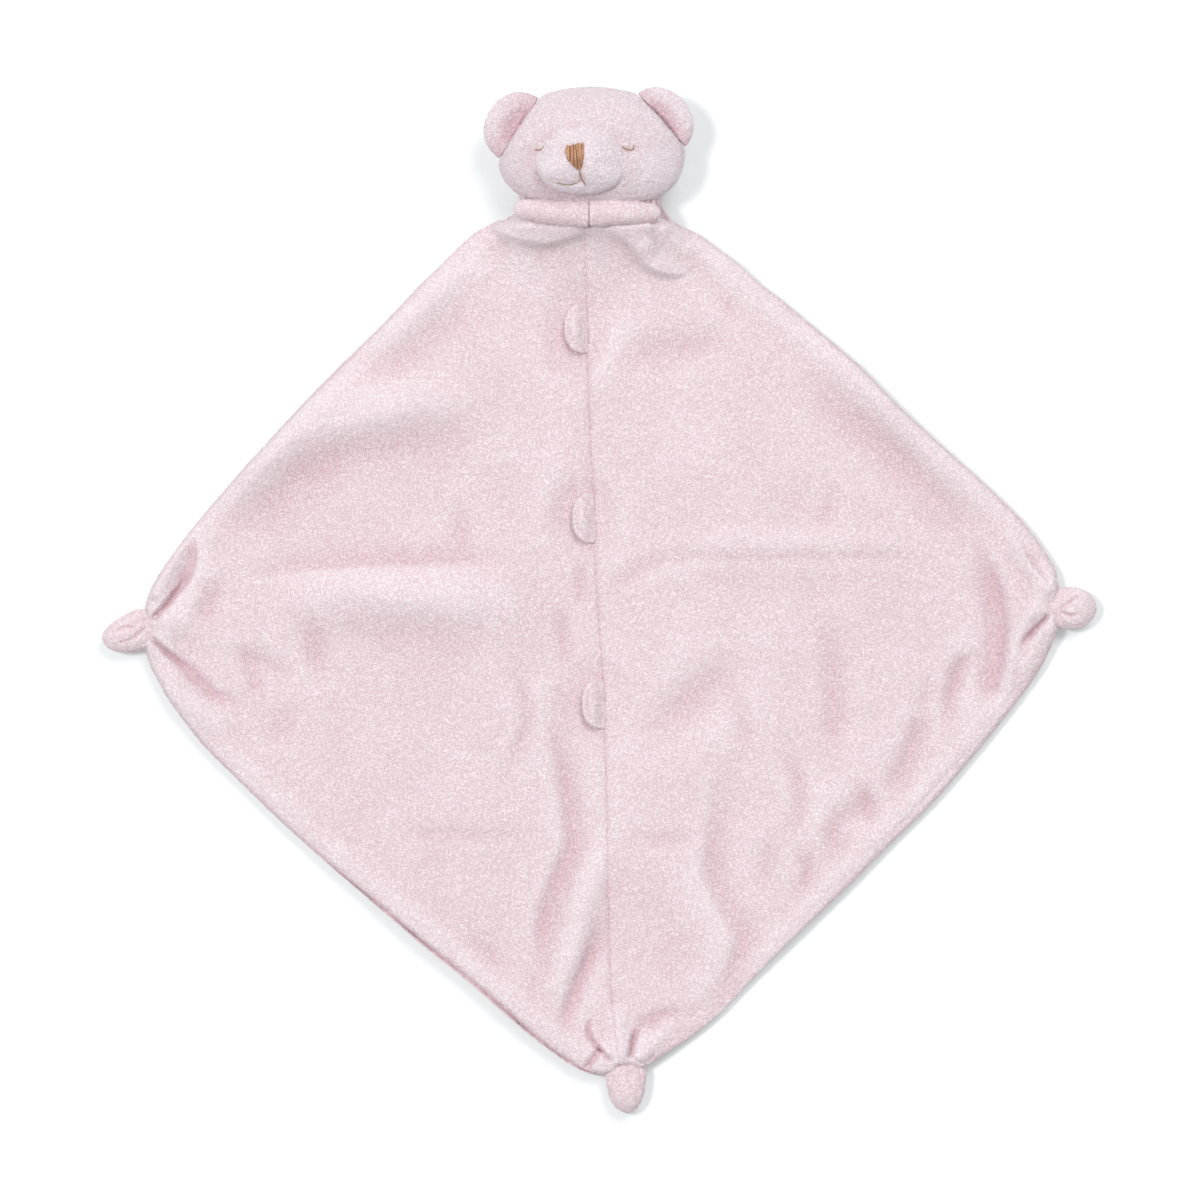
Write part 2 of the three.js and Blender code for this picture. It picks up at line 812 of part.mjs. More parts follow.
const leftEar = earBase(leftEarAngle, 1);
const rightEar = earBase(rightEarAngle, -1);

// The head's form, this much larger, cut flat at its ears, its neck and the floor
function headForm(grow, cut) {
  const reach = (angle) =>
    ovalReach(angle, headHalfWidth, headHalfHeight, headHalfHeight, 2, 2.6) + grow;
  let form = padSolid(headMiddle, reach, headHalfDepth + grow, padSides, padRings);
  if (!cut) return form;
  [leftEar, rightEar].forEach(({ normal, middle }) => {
    form = form.subtract(beyondPlane(normal, grow, middle));
  });
  const down = new THREE.Vector3(0, 0, -1);
  const back = new THREE.Vector3(0, -1, 0);
  return form.subtract(beyondPlane(down, grow)).subtract(beyondPlane(back, -turnPlaneY));
}

function muzzleForm(grow) {
  const reach = (angle) =>
    ovalReach(angle, muzzleHalfWidth, muzzleHalfHeight, muzzleHalfHeight, 2, 2.3) + grow;
  const form = padSolid(muzzleMiddle, reach, muzzleHalfDepth + grow, smallPadSides, padRings);
  return form.subtract(beyondPlane(new THREE.Vector3(0, -1, 0), -turnPlaneY));
}

function addHead() {
  const skin = headForm(0, true).subtract(headForm(-skinThickness, true));
  const up = new THREE.Vector3(0, 0, 1);
  const down = new THREE.Vector3(0, 0, -1);
  const face = skin.subtract(beyondPlane(down, -headZ - seatGap / 2));
  const back = skin.subtract(beyondPlane(up, headZ - seatGap / 2));
  addPiece("head_face", face, plush);
  addPiece("head_back", back, plush);
  addPiece("head_stuffing", headForm(-skinThickness - seatGap, true), stuffing);
}

function addMuzzle() {
  const head = headForm(seatGap, false);
  const cover = muzzleForm(0).subtract(muzzleForm(-skinThickness)).subtract(head);
  const filling = muzzleForm(-skinThickness - seatGap).subtract(head);
  addPiece("muzzle_cover", cover, plush);
  addPiece("muzzle_stuffing", filling, stuffing);
}

// Embroidery: a prism cut to a thin layer that lies on the muzzle or the face

function onMuzzle(outline, thickness) {
  const over = muzzleForm(seatGap + thickness);
  return prism(outline, muzzleZ).intersect(over).subtract(muzzleForm(seatGap));
}

function onFace(outline, thickness) {
  const over = headForm(seatGap + thickness, false);
  return prism(outline, headZ).intersect(over).subtract(headForm(seatGap, false));
}

function addNose() {
  const outline = noseShares.map(
    ([sx, sy]) => new THREE.Vector2(noseX + sx * noseWidth, noseY + sy * noseHeight),
  );
  addPiece("nose", onMuzzle(outline, noseThickness), brownThread);
}

function headPoints(shares) {
  return shares.map(
    ([sx, sy]) => new THREE.Vector2(headX + sx * headHalfWidth, headY + sy * headHalfHeight),
  );
}

function addStitches() {
  const stitched = (shares) => stitchOutline(headPoints(shares), stitchWidth);
  const groove = onMuzzle(stitched(lipGrooveShares), stitchHeight);
  const line = onMuzzle(stitched(mouthShares), stitchHeight);
  addPiece("mouth_stitch", groove.add(line), tanThread);
  addPiece("left_eye_stitch", onFace(stitched(leftEyeShares), stitchHeight), tanThread);
  addPiece("right_eye_stitch", onFace(stitched(rightEyeShares), stitchHeight), tanThread);
}

// Ears: a front and a back piece each, rounded about the hinge at their base

function addEar(name, { normal, middle }, angle) {
  const reach = (turn) =>
    ovalReach(turn, earHalfWidth, earReach - earRootRadius - seatGap, earRootRadius, 2, 4);
  const pad = padSolid(new THREE.Vector3(), reach, earHalfDepth, smallPadSides, smallPadRings);
  const place = new THREE.Matrix4().makeRotationZ(angle - Math.PI / 2);
  place.setPosition(middle.clone().addScaledVector(normal, seatGap + earRootRadius));
  const ear = pad.transform(place.elements);
  const up = new THREE.Vector3(0, 0, 1);
  const down = new THREE.Vector3(0, 0, -1);
  addPiece(name + "_ear_front", ear.subtract(beyondPlane(down, -headZ - seatGap / 2)), plush);
  addPiece(name + "_ear_back", ear.subtract(beyondPlane(up, headZ - seatGap / 2)), plush);
}

addBackPanel();
addSide("left", leftSide);
addSide("right", rightSide);
addSeamThread();
addTab("top", tabY(topTabShare));
addTab("middle", tabY(middleTabShare));
addTab("bottom", tabY(bottomTabShare));
addKnob("left", -leftReach, leftCornerY, Math.PI, leftKnobDroop, leftKnobLength);
addKnob("right", rightReach, rightCornerY, 0, rightKnobDroop, rightKnobLength);
addKnob("bottom", bottomCornerX, -bottomReach, -Math.PI / 2, bottomKnobDroop, bottomKnobLength);
addNeck();
addHead();
addMuzzle();
addNose();
addStitches();
addEar("left", leftEar, leftEarAngle);
addEar("right", rightEar, rightEarAngle);

export default root;
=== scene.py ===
"""Comfort blanket with a stuffed bear's head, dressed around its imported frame.

Sizes are in millimetres in the row frame, face up with the head towards +Y, until a mesh is made.
"""

import json
import logging
import math
from dataclasses import dataclass, field
from enum import Enum
from itertools import product

import bpy
import numpy as np
from mathutils import Matrix, Vector
from mathutils.bvhtree import BVHTree

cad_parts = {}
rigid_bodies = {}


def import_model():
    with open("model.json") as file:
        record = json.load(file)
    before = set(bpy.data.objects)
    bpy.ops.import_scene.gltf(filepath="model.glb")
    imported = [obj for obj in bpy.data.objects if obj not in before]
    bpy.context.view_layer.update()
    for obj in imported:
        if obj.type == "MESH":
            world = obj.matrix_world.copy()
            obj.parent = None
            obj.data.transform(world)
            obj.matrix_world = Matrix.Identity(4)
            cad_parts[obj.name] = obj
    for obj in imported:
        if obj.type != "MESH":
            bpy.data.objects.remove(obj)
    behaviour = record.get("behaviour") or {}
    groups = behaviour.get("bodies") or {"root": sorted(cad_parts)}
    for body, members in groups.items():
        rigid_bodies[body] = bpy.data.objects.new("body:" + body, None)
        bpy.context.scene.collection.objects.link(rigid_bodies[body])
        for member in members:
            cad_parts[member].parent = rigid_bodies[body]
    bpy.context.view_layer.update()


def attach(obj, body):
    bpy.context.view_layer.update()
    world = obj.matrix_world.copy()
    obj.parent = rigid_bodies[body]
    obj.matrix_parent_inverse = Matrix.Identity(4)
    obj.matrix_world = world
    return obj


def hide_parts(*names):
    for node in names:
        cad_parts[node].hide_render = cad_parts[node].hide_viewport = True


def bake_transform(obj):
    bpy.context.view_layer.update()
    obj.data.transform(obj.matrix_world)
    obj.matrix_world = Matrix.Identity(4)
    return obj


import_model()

LOG = logging.getLogger("comfort_blanket")
MM = 0.001
SHARP_EDGE = 70.0  # degrees
FOLD_REACH = 3.2  # times a fold's width, past which it lifts nothing
TAB_CUTS, HEAD_CUTS, MUZZLE_CUTS, EAR_CUTS = 33, 95, 55, 45  # across each face of a pad's ball
Spot = tuple[float, float]
Place = tuple[float, float, float]
Path = tuple[Spot, ...]
Line = tuple[Place, ...]
Array = np.ndarray
Piece = bpy.types.Object
Material = bpy.types.Material


class Side(Enum):
    """A side of the toy as it lies, by the sign of X."""

    LEFT = -1
    RIGHT = 1

    @property
    def word(self) -> str:
        """The side as it stands in piece names."""
        return self.name.lower()


class Half(Enum):
    """Upper or lower half of a pad that is sewn from two pieces."""

    FACE = 1
    BACK = -1


# Numbers and meshes


def smooth(value: Array | float) -> Array:
    """Returns value held to 0..1 and eased at both ends."""
    held = np.clip(value, 0.0, 1.0)
    return held * held * (3 - 2 * held)


def bell(off: Array) -> Array:
    """Returns 1 where off is zero, falling away to both sides."""
    return np.exp(-(off**2))


def smooth_path(points: Path, steps: int = 6) -> Array:
    """Passes a soft curve through a few measured points.

    Args:
        points: Points that the curve goes through.
        steps: Stretches between two points.

    Returns:
        The curve's points, one row each.
    """
    known = np.array(points, float)
    padded = np.vstack([2 * known[0] - known[1], known, 2 * known[-1] - known[-2]])
    curve = [known[0]]
    for before, start, end, after in zip(padded, padded[1:], padded[2:], padded[3:]):
        for share in np.arange(1, steps + 1) / steps:
            bend = 2 * start + (end - before) * share
            bend = bend + (2 * before - 5 * start + 4 * end - after) * share**2
            bend = bend + (3 * start - before - 3 * end + after) * share**3
            curve.append(bend / 2)
    return np.array(curve)


def box_mean(values: Array, width: int) -> Array:
    """Averages each row's values with their neighbours.

    Args:
        values: Rows of values.
        width: How many are averaged, an odd number.

    Returns:
        The averages, in the same shape.
    """
    half = width // 2
    padded = np.pad(values, ((0, 0), (half + 1, half)), mode="edge")
    total = np.cumsum(padded, axis=1)
    return (total[:, width:] - total[:, :-width]) / width


def path_lengths(points: Array) -> Array:
    """Returns how far along a path each of its points lies."""
    return np.concatenate([[0.0], np.cumsum(np.linalg.norm(np.diff(points, axis=0), axis=1))])


def along_path(points: Array, shares: Array) -> Array:
    """Returns the places at these shares of a path's length."""
    lengths = path_lengths(points)
    wanted = np.asarray(shares) * lengths[-1]
    return np.stack([np.interp(wanted, lengths, column) for column in points.T], axis=-1)


def path_distance(x: Array, y: Array, points: Array) -> tuple[Array, Array]:
    """Measures how far places are from a path.

    Args:
        x: Places across.
        y: Places along.
        points: The path, two columns.

    Returns:
        Signed distance, positive on the left of the path, and the share of the path nearest to it.
    """
    nearest = np.full(x.shape, np.inf)
    side = np.ones(x.shape)
    share = np.zeros(x.shape)
    lengths = path_lengths(points)
    for start, end, begun, done in zip(points, points[1:], lengths, lengths[1:]):
        step = end - start
        length = max(done - begun, 1e-9)
        t = np.clip(((x - start[0]) * step[0] + (y - start[1]) * step[1]) / length**2, 0, 1)
        away_x = x - start[0] - step[0] * t
        away_y = y - start[1] - step[1] * t
        away = np.hypot(away_x, away_y)
        nearer = away < nearest
        nearest = np.where(nearer, away, nearest)
        turn = np.sign(step[0] * away_y - step[1] * away_x)
        side = np.where(nearer, turn, side)
        share = np.where(nearer, (begun + length * t) / lengths[-1], share)
    return nearest * np.where(side == 0, 1, side), share


def bell_along(x: Array, y: Array, path: Path, width: float) -> Array:
    """Returns 1 on a path, falling away to both sides of it, for places x and y."""
    off, _ = path_distance(x, y, smooth_path(path))
    return bell(off / width)


def lattice_noise(points: Array, size: float, seed: int) -> Array:
    """Smooth random values from -1 to 1 that depend on nothing but the place and the seed.

    Args:
        points: Places, one row each.
        size: Millimetres between two random values.
        seed: Which of many patterns.

    Returns:
        One value for each place.
    """
    scaled = np.asarray(points, float) / size
    cell = np.floor(scaled).astype(np.int64)
    inside = smooth(scaled - cell)
    total = np.zeros(len(scaled))
    for corner in product((0, 1), repeat=3):
        key = cell + np.array(corner)
        mixed = key[:, 0] * 73856093 ^ key[:, 1] * 19349663 ^ key[:, 2] * 83492791 ^ seed * 2654435761
        mixed = (mixed ^ (mixed >> 13)) * 1274126177 & 0xFFFFFFFF
        value = (mixed ^ (mixed >> 16)) / 0x7FFFFFFF - 1
        total += value * np.prod(np.where(corner, inside, 1 - inside), axis=1)
    return total


def flat_noise(x: Array, y: Array, size: float, seed: int) -> Array:
    """Returns lattice noise in the plane of the cloth, in the shape of x."""
    flat = np.stack([x.ravel(), y.ravel(), np.zeros(x.size)], axis=1)
    return lattice_noise(flat, size, seed).reshape(x.shape)


def turn_to(points: Array, degrees: float, place: Place) -> Array:
    """Turns points about Z and moves them from the origin to a place."""
    turn = Matrix.Rotation(math.radians(degrees), 3, "Z")
    return points @ np.array(turn).T + np.array(place)


def deselect_all() -> None:
    """Leaves nothing selected."""
    bpy.ops.object.select_all(action="DESELECT")


def activate(piece: Piece) -> None:
    """Makes a piece the only one selected, and the active one."""
    deselect_all()
    piece.select_set(True)
    bpy.context.view_layer.objects.active = piece


def piece_from(name: str, points: Array, faces: list[Array]) -> Piece:
    """Makes a mesh piece.

    Args:
        name: The piece's name.
        points: Vertex places in millimetres.
        faces: Arrays of vertex numbers, one array for each count of corners.

    Returns:
        The new object, at the origin.
    """
    mesh = bpy.data.meshes.new(name)
    corners = np.concatenate([part.ravel() for part in faces])
    counts = np.concatenate([np.full(len(part), part.shape[1]) for part in faces])
    mesh.vertices.add(len(points))
    mesh.loops.add(len(corners))
    mesh.polygons.add(len(counts))
    mesh.vertices.foreach_set("co", (np.asarray(points) * MM).astype(np.float32).ravel())
    mesh.loops.foreach_set("vertex_index", corners.astype(np.int32))
    starts = np.concatenate([[0], np.cumsum(counts)[:-1]])
    mesh.polygons.foreach_set("loop_start", starts.astype(np.int32))
    mesh.update(calc_edges=True)
    mesh.validate()
    piece = bpy.data.objects.new(name, mesh)
    bpy.context.scene.collection.objects.link(piece)
    return piece


def places_of(piece: Piece) -> Array:
    """Returns a piece's vertices in millimetres."""
    flat = np.zeros(len(piece.data.vertices) * 3, np.float32)
    piece.data.vertices.foreach_get("co", flat)
    return flat.reshape(-1, 3).astype(float) / MM


def move_to(piece: Piece, points: Array) -> None:
    """Puts a piece's vertices at these places in millimetres."""
    piece.data.vertices.foreach_set("co", (points * MM).astype(np.float32).ravel())
    piece.data.update()


def normals_of(piece: Piece) -> Array:
    """Returns the directions that a piece's vertices face."""
    flat = np.zeros(len(piece.data.vertices) * 3, np.float32)
    piece.data.vertex_normals.foreach_get("vector", flat)
    return flat.reshape(-1, 3).astype(float)


def note_values(piece: Piece, name: str, values: Array) -> None:
    """Keeps one number for each vertex of a piece, for its material to read."""
    attribute = piece.data.attributes.new(name, "FLOAT", "POINT")
    attribute.data.foreach_set("value", values.astype(np.float32))


def note_painted_shade(piece: Piece, rounds: int = 24, depth: float = 0.9, shade: Array | float = 0.0) -> None:
    """Keeps painted shade for each vertex by how far it lies in a hollow of its piece, from -1 on ridges, as
    painted light, to 1 in creases.

    Args:
        piece: The pad.
        rounds: How often each place is averaged with its neighbours.
        depth: Millimetres that count as a full hollow.
        shade: More painted shade to add at each vertex, below zero for painted light.
    """
    points = places_of(piece)
    ends = np.zeros(len(piece.data.edges) * 2, np.int32)
    piece.data.edges.foreach_get("vertices", ends)
    first, last = ends.reshape(-1, 2).T
    count = np.bincount(first, minlength=len(points)) + np.bincount(last, minlength=len(points))
    rounds_left = points.copy()
    for _ in range(rounds):
        total = np.stack(
            [
                np.bincount(first, rounds_left[last, axis], len(points))
                + np.bincount(last, rounds_left[first, axis], len(points))
                for axis in range(3)
            ],
            axis=1,
        )
        rounds_left = total / np.maximum(count, 1)[:, None]
    sunk = ((rounds_left - points) * normals_of(piece)).sum(axis=1)
    typical = np.median(sunk)
    # Painted shade in creases and painted light on ridges, for the velour to mix in
    note_values(piece, "painted_shade_and_light", np.clip((sunk - typical) / depth, -0.3, 1) + shade)


def shade_smooth(piece: Piece) -> None:
    """Shades a piece smooth, apart from its sharpest edges."""
    activate(piece)
    bpy.ops.object.shade_smooth_by_angle(angle=math.radians(SHARP_EDGE))


def solidify(piece: Piece, thickness: float) -> None:
    """Gives a shell a thickness towards its inside.

    Args:
        piece: The shell.
        thickness: Its thickness in millimetres.
    """
    activate(piece)
    wall = piece.modifiers.new("wall", "SOLIDIFY")
    wall.thickness = thickness * MM
    wall.offset = -1
    bpy.ops.object.modifier_apply(modifier=wall.name)


# Finishes


def linear(colour: str) -> tuple[float, float, float, float]:
    """Turns an sRGB hex colour to the linear colour that shaders take."""
    parts = [int(colour[place : place + 2], 16) / 255 for place in (1, 3, 5)]
    light = [part / 12.92 if part <= 0.04045 else ((part + 0.055) / 1.055) ** 2.4 for part in parts]
    return (light[0], light[1], light[2], 1.0)


def add_node(
    material: Material | bpy.types.World,
    kind: str,
    settings: dict[str, object] | None = None,
    **inputs: object,
) -> bpy.types.Node:
    """Adds a node with its settings, values and links.

    Args:
        material: What the node belongs to.
        kind: The node's type.
        settings: Properties of the node itself.
        **inputs: Values or other nodes' sockets, by the input's name with spaces as underscores, or
            by its number after an underscore.

    Returns:
        The new node.
    """
    node = material.node_tree.nodes.new(kind)
    for setting, value in (settings or {}).items():
        setattr(node, setting, value)
    for word, value in inputs.items():
        socket = node.inputs[int(word[1:])] if word[0] == "_" else node.inputs[word.replace("_", " ")]
        if isinstance(value, bpy.types.NodeSocket):
            material.node_tree.links.new(value, socket)
        else:
            socket.default_value = value
    return node


def empty_material(name: str) -> Material:
    """Makes a material with no nodes.

    Args:
        name: Its name.

    Returns:
        The new material.
    """
    material = bpy.data.materials.new(name)
    material.use_nodes = True
    material.node_tree.nodes.clear()
    return material


def read_attribute(made: Material, name: str) -> bpy.types.NodeSocket:
    """Reads one of a mesh's numbers."""
    return add_node(made, "ShaderNodeAttribute", {"attribute_name": name}).outputs["Fac"]


@dataclass(frozen=True)
class Finish:
    """A fibrous surface between a light and a dark colour, with a fine relief."""

    name: str
    light: str
    dark: str

    def noise(self, made: Material, size: float, **inputs: float) -> bpy.types.NodeSocket:
        """Spreads an uneven pattern, this many millimetres from patch to patch."""
        place = add_node(made, "ShaderNodeTexCoord").outputs["Object"]
        return add_node(made, "ShaderNodeTexNoise", Vector=place, Scale=1 / (size * MM), **inputs).outputs[0]

    def add_up(self, made: Material, start: object, *shares: tuple[object, float]) -> object:
        """Adds shares of some sockets to a first value.

        Args:
            made: The material so far.
            start: The first value or socket.
            *shares: Pairs of a socket and its share.

        Returns:
            The socket of the sum.
        """
        total = start
        for socket, share in shares:
            total = add_node(
                made, "ShaderNodeMath", {"operation": "MULTIPLY_ADD"}, _0=socket, _1=share, _2=total
            ).outputs[0]
        return total

    def surface(self, made: Material, shown: object, height: object, depth: float, strength: float,
                **inputs: float) -> Material:
        """Makes the surface itself.

        Args:
            made: The material so far.
            shown: The share of the light colour.
            height: The pattern of the relief.
            depth: Millimetres from its valleys to its tops.
            strength: How much of it is shown.
            **inputs: Other inputs of the surface.

        Returns:
            The finished material.
        """
        colours = {"_6": linear(self.dark), "_7": linear(self.light)}
        colour = add_node(made, "ShaderNodeMix", {"data_type": "RGBA"}, _0=shown, **colours)
        relief = add_node(made, "ShaderNodeBump", Height=height, Distance=depth * MM, Strength=strength)
        surface = add_node(
            made, "ShaderNodeBsdfPrincipled", Base_Color=colour.outputs[2], Normal=relief.outputs[0], **inputs
        )
        add_node(made, "ShaderNodeOutputMaterial", Surface=surface.outputs[0])
        return made


@dataclass(frozen=True)
class VelourFinish(Finish):
    """Polyester plush velour: short cut pile, matt, with pale fibre tips over deeper pink roots, and painted
    shade and light that follow its tufts and hollows.
    """

    loop: float = 0.64  # between the loops of the pile
    fuzz: float = 0.3  # depth of the pile in the shading
    patch: float = 26  # brushed patches
    base: float = 0.1
    loop_share: float = 0.54
    # Share of the tufts' heights: painted shade in the gaps of the pile, painted light on its tufts
    tuft_share: float = 0.14
    patch_share: float = 0.22
    # Share of the painted shade and light noted at each vertex
    painted_shade_share: float = -0.34

    def material(self) -> Material:
        """Builds the velour from its loops, its brushed patches, and shade and light painted by its tufts and
        hollows.

        Returns:
            The material.
        """
        made = empty_material(self.name)
        loop = add_node(
            made, "ShaderNodeMapRange", {"interpolation_type": "SMOOTHSTEP"}, From_Min=0.34, From_Max=0.6,
            Value=self.noise(made, self.loop, Detail=1.0, Roughness=0.45, Distortion=0.9),
        ).outputs[0]
        # The loops and patches vary the tone; the tufts and the hollows paint shade and light into it
        shown = self.add_up(
            made, self.base, (loop, self.loop_share), (read_attribute(made, "pile"), self.tuft_share),
            (self.noise(made, self.patch, Detail=2.0), self.patch_share),
            (read_attribute(made, "painted_shade_and_light"), self.painted_shade_share),
        )
        return self.surface(
            made, shown, loop, self.fuzz, 0.7, Roughness=0.95, Sheen_Weight=0.3, Sheen_Roughness=0.5,
            Specular_IOR_Level=0.15,
        )


@dataclass(frozen=True)
class ThreadFinish(Finish):
    """Twisted rayon, cotton or polyester thread: smooth strands with a soft gloss along each."""

    strand: float = 0.35
    gloss: float = 0.45
    under_thread_shade_share: float = -0.5

    def material(self) -> Material:
        """Builds the thread from fine strands, with shade painted on the threads that lie under others.

        Returns:
            The material.
        """
        made = empty_material(self.name)
        strands = self.noise(made, self.strand, Detail=3.0, Distortion=0.4)
        worn = add_node(made, "ShaderNodeMapRange", Value=strands, From_Min=0.35, From_Max=0.65)
        # Painted shade on the threads whose vertices are marked sunk, under the upper layer
        shown = self.add_up(made, worn.outputs[0], (read_attribute(made, "sunk"), self.under_thread_shade_share))
        return self.surface(made, shown, strands, 0.12, 0.6, Roughness=self.gloss, Sheen_Weight=0.2)


@dataclass(frozen=True)
class FillingFinish(Finish):
    """Carded polyester fibrefill: white, matt and loosely matted."""

    fibre: float = 1.6

    def material(self) -> Material:
        """Builds the fibrefill from matted strands."""
        made = empty_material(self.name)
        matted = self.noise(made, self.fibre, Detail=4.0, Distortion=1.5)
        return self.surface(made, matted, matted, 0.8, 0.7, Roughness=1.0, Sheen_Weight=0.3)


@dataclass(frozen=True)
class Pile:
    """Short tufts of pile that stand on a cloth."""

    tuft: float = 1.9  # between the gaps
    depth: float = 0.5
    seed: int = 5
    drift_share: float = 1.7
    fine_share: float = 0.55
    parts: Spot = (0.85, 0.35)  # of the coarse and the fine tufts

    def heights(self, points: Array) -> Array:
        """Works out how high the pile stands.

        Args:
            points: Places in millimetres, one row each.

        Returns:
            0 in the gaps of the pile to 1 on its tufts.
        """
        drift = [lattice_noise(points, self.tuft * self.drift_share, self.seed + k) for k in (1, 2, 3)]
        moved = points + np.stack(drift, axis=1) * self.tuft * self.fine_share
        coarse = np.abs(lattice_noise(moved, self.tuft, self.seed))
        fine = np.abs(lattice_noise(moved, self.tuft * self.fine_share, self.seed + 9))
        return np.clip(np.sqrt(coarse) * self.parts[0] + np.sqrt(fine) * self.parts[1], 0, 1)

    def raise_on(self, piece: Piece, directions: Array | None = None, count: int | None = None) -> None:
        """Lifts a piece's surface into tufts and keeps their heights for its material.

        Args:
            piece: The cloth or pad.
            directions: Where the pile points, else the way that the surface faces.
            count: How many of the first vertices carry pile, else all.
        """
        points = places_of(piece)
        facing = normals_of(piece) if directions is None else directions
        values = np.zeros(len(points))
        last = len(points) if count is None else count
        values[:last] = self.heights(points[:last])
        points[:last] += facing[:last] * ((values[:last] - 0.5) * self.depth)[:, None]
        # Painted shade in creases, unless shade is noted already
        if directions is None and "painted_shade_and_light" not in piece.data.attributes:
            note_painted_shade(piece)
        move_to(piece, points)
        note_values(piece, "pile", values)


# Short cut velour of the blanket's front, of the head and of the blanket's back
PINK_VELOUR = VelourFinish("pink_plush_velour", light="#f8ecf1", dark="#d5b0b8")
HEAD_VELOUR = VelourFinish("pink_plush_velour_head", light="#f3ebf0", dark="#d4b0b9", patch=18)
BACK_VELOUR = VelourFinish("pink_plush_velour_back", light="#f6eaee", dark="#d7aab2")
# Sewing thread of the seam and the ties, satin thread of the nose, cotton of the mouth and the eyes
PINK_THREAD = ThreadFinish("pink_polyester_thread", light="#ecd3d9", dark="#d9b4bd")
BROWN_THREAD = ThreadFinish("tan_rayon_embroidery", light="#e4b48e", dark="#9c6846", gloss=0.38)
TAN_THREAD = ThreadFinish("ochre_cotton_embroidery", light="#b08a54", dark="#835f34")
# Stuffing of the head and the muzzle
FIBREFILL = FillingFinish("polyester_fibrefill", light="#fbfaf7", dark="#e6e3dc")
PILE = Pile()


@dataclass(frozen=True)
class Bend:
    """Two bodies and the stretch between them where a piece would bend, in metres; nothing here bends the
    piece.
    """

    near: str
    far: str
    start: Place
    end: Place


def declare(piece: Piece, finish: Material, node: str, hold: str | Bend) -> Piece:
    """Dresses a finished piece, hides the frame's node that it stands for, and reports it.

    Args:
        piece: The piece.
        finish: Its material.
        node: The frame's node that the piece takes the place of.
        hold: The body that it rides on; with a bend, it is left unattached where it stands.

    Returns:
        The piece.
    """
    piece.data.materials.clear()
    piece.data.materials.append(finish)
    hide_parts(node)
    if isinstance(hold, Bend):
        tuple(hold.start)
        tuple(hold.end)
        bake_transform(piece)
    else:
        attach(piece, hold)
    LOG.info("%s: %s faces", piece.name, len(piece.data.polygons))
    return piece


def declare_pad(
    piece: Piece, finish: Material, node: str, hold: str | Bend, fill: float
) -> Piece:
    """Args:
        piece: The pad.
        finish: Its material.
        node: The frame's node that it takes the place of.
        hold: The body that it rides on; with a bend, it is left unattached where it stands.
        fill: Not used.

    Returns:
        The pad.
    """
    shade_smooth(piece)
    declare(piece, finish, node, hold)
    return piece


# Blanket


@dataclass(frozen=True)
class Fold:
    """One fold or crease of the laid cloth, along a path that it rises or sinks on."""

    path: Path
    rise: float
    left: float  # width on the left of the path
    right: float
    fade_in: float = 0.35  # share of the path over which it begins
    fade_out: float = 0.35

    def heights(self, x: Array, y: Array) -> Array:
        """Measures how much this fold lifts the cloth.

        Args:
            x: Places across.
            y: Places along.

        Returns:
            The lift at each place, below zero in a crease.
        """
        line = smooth_path(self.path)
        reach = FOLD_REACH * max(self.left, self.right)
        low, high = line.min(0) - reach, line.max(0) + reach
        near = (x > low[0]) & (x < high[0]) & (y > low[1]) & (y < high[1])
        lifted = np.zeros(x.shape)
        away, share = path_distance(x[near], y[near], line)
        width = np.where(away > 0, self.left, self.right)
        ends = smooth(share / self.fade_in) * smooth((1 - share) / self.fade_out)
        lifted[near] = self.rise * bell(away / width) * ends
        return lifted


# Folds left of the centre seam
LEFT_FOLDS = (
    Fold(((-176, 34), (-169, 46), (-154, 64.5), (-138, 76), (-121, 83), (-101, 87), (-81, 91), (-62, 93.5),
          (-42, 96)), 9, 18, 12, 0.25, 0.4),
    Fold(((-158, -1), (-120, 3), (-95, 3.5), (-70, 2), (-45, -2), (-22, -9)), 6.9, 14, 14, 0.35, 0.4),
    Fold(((-172, 9), (-150, 13), (-130, 15.5), (-112, 16.8), (-90, 17.5), (-60, 18), (-28, 16)), -1.5, 7, 2),
    Fold(((-58, 156), (-74, 141), (-87, 129), (-97, 120), (-110, 107)), 4.8, 8.5, 9, 0.35, 0.4),
    Fold(((-24, -36), (-22, -55), (-18.5, -70), (-15.5, -85), (-13.5, -100), (-13, -112), (-18, -125),
          (-22.5, -137), (-25.5, -148), (-26, -160), (-25, -170), (-30, -180), (-36, -194)), -3, 8.5, 4.4),
    Fold(((4, -100), (-2, -125), (-7, -142), (-11, -158), (-18, -176), (-25, -192)), 3.6, 6, 8, 0.4),
    Fold(((1, -144), (-3.5, -160), (-8.5, -172), (-13, -184), (-15.5, -194), (-17, -204)), -3, 4.4, 3.6, 0.4),
    Fold(((-104, -110), (-72, -107), (-50, -109), (-20, -107)), -0.8, 4, 4),
    Fold(((-43, -16), (-36, -40), (-33.5, -56), (-38, -70), (-48, -92)), -1.4, 4.5, 4, 0.45, 0.45),
    Fold(((-67, 50), (-64, 34), (-60, 14)), -1.2, 6, 6, 0.45, 0.45),
    Fold(((-9.5, 26), (-9, 8), (-8, -8)), -1.4, 4, 3, 0.45, 0.45),
    Fold(((-19, 2), (-17, -16), (-15, -36)), -1.4, 4, 3.4, 0.45, 0.45),
    Fold(((-66, -152), (-51, -164), (-44, -182)), -1.2, 6, 6, 0.45, 0.45),
    Fold(((-30, 112), (-14, 106), (0, 99)), -1, 7, 7),
    Fold(((-150, -45), (-146, -58), (-148, -72)), -1.2, 8, 8, 0.45, 0.45),
)

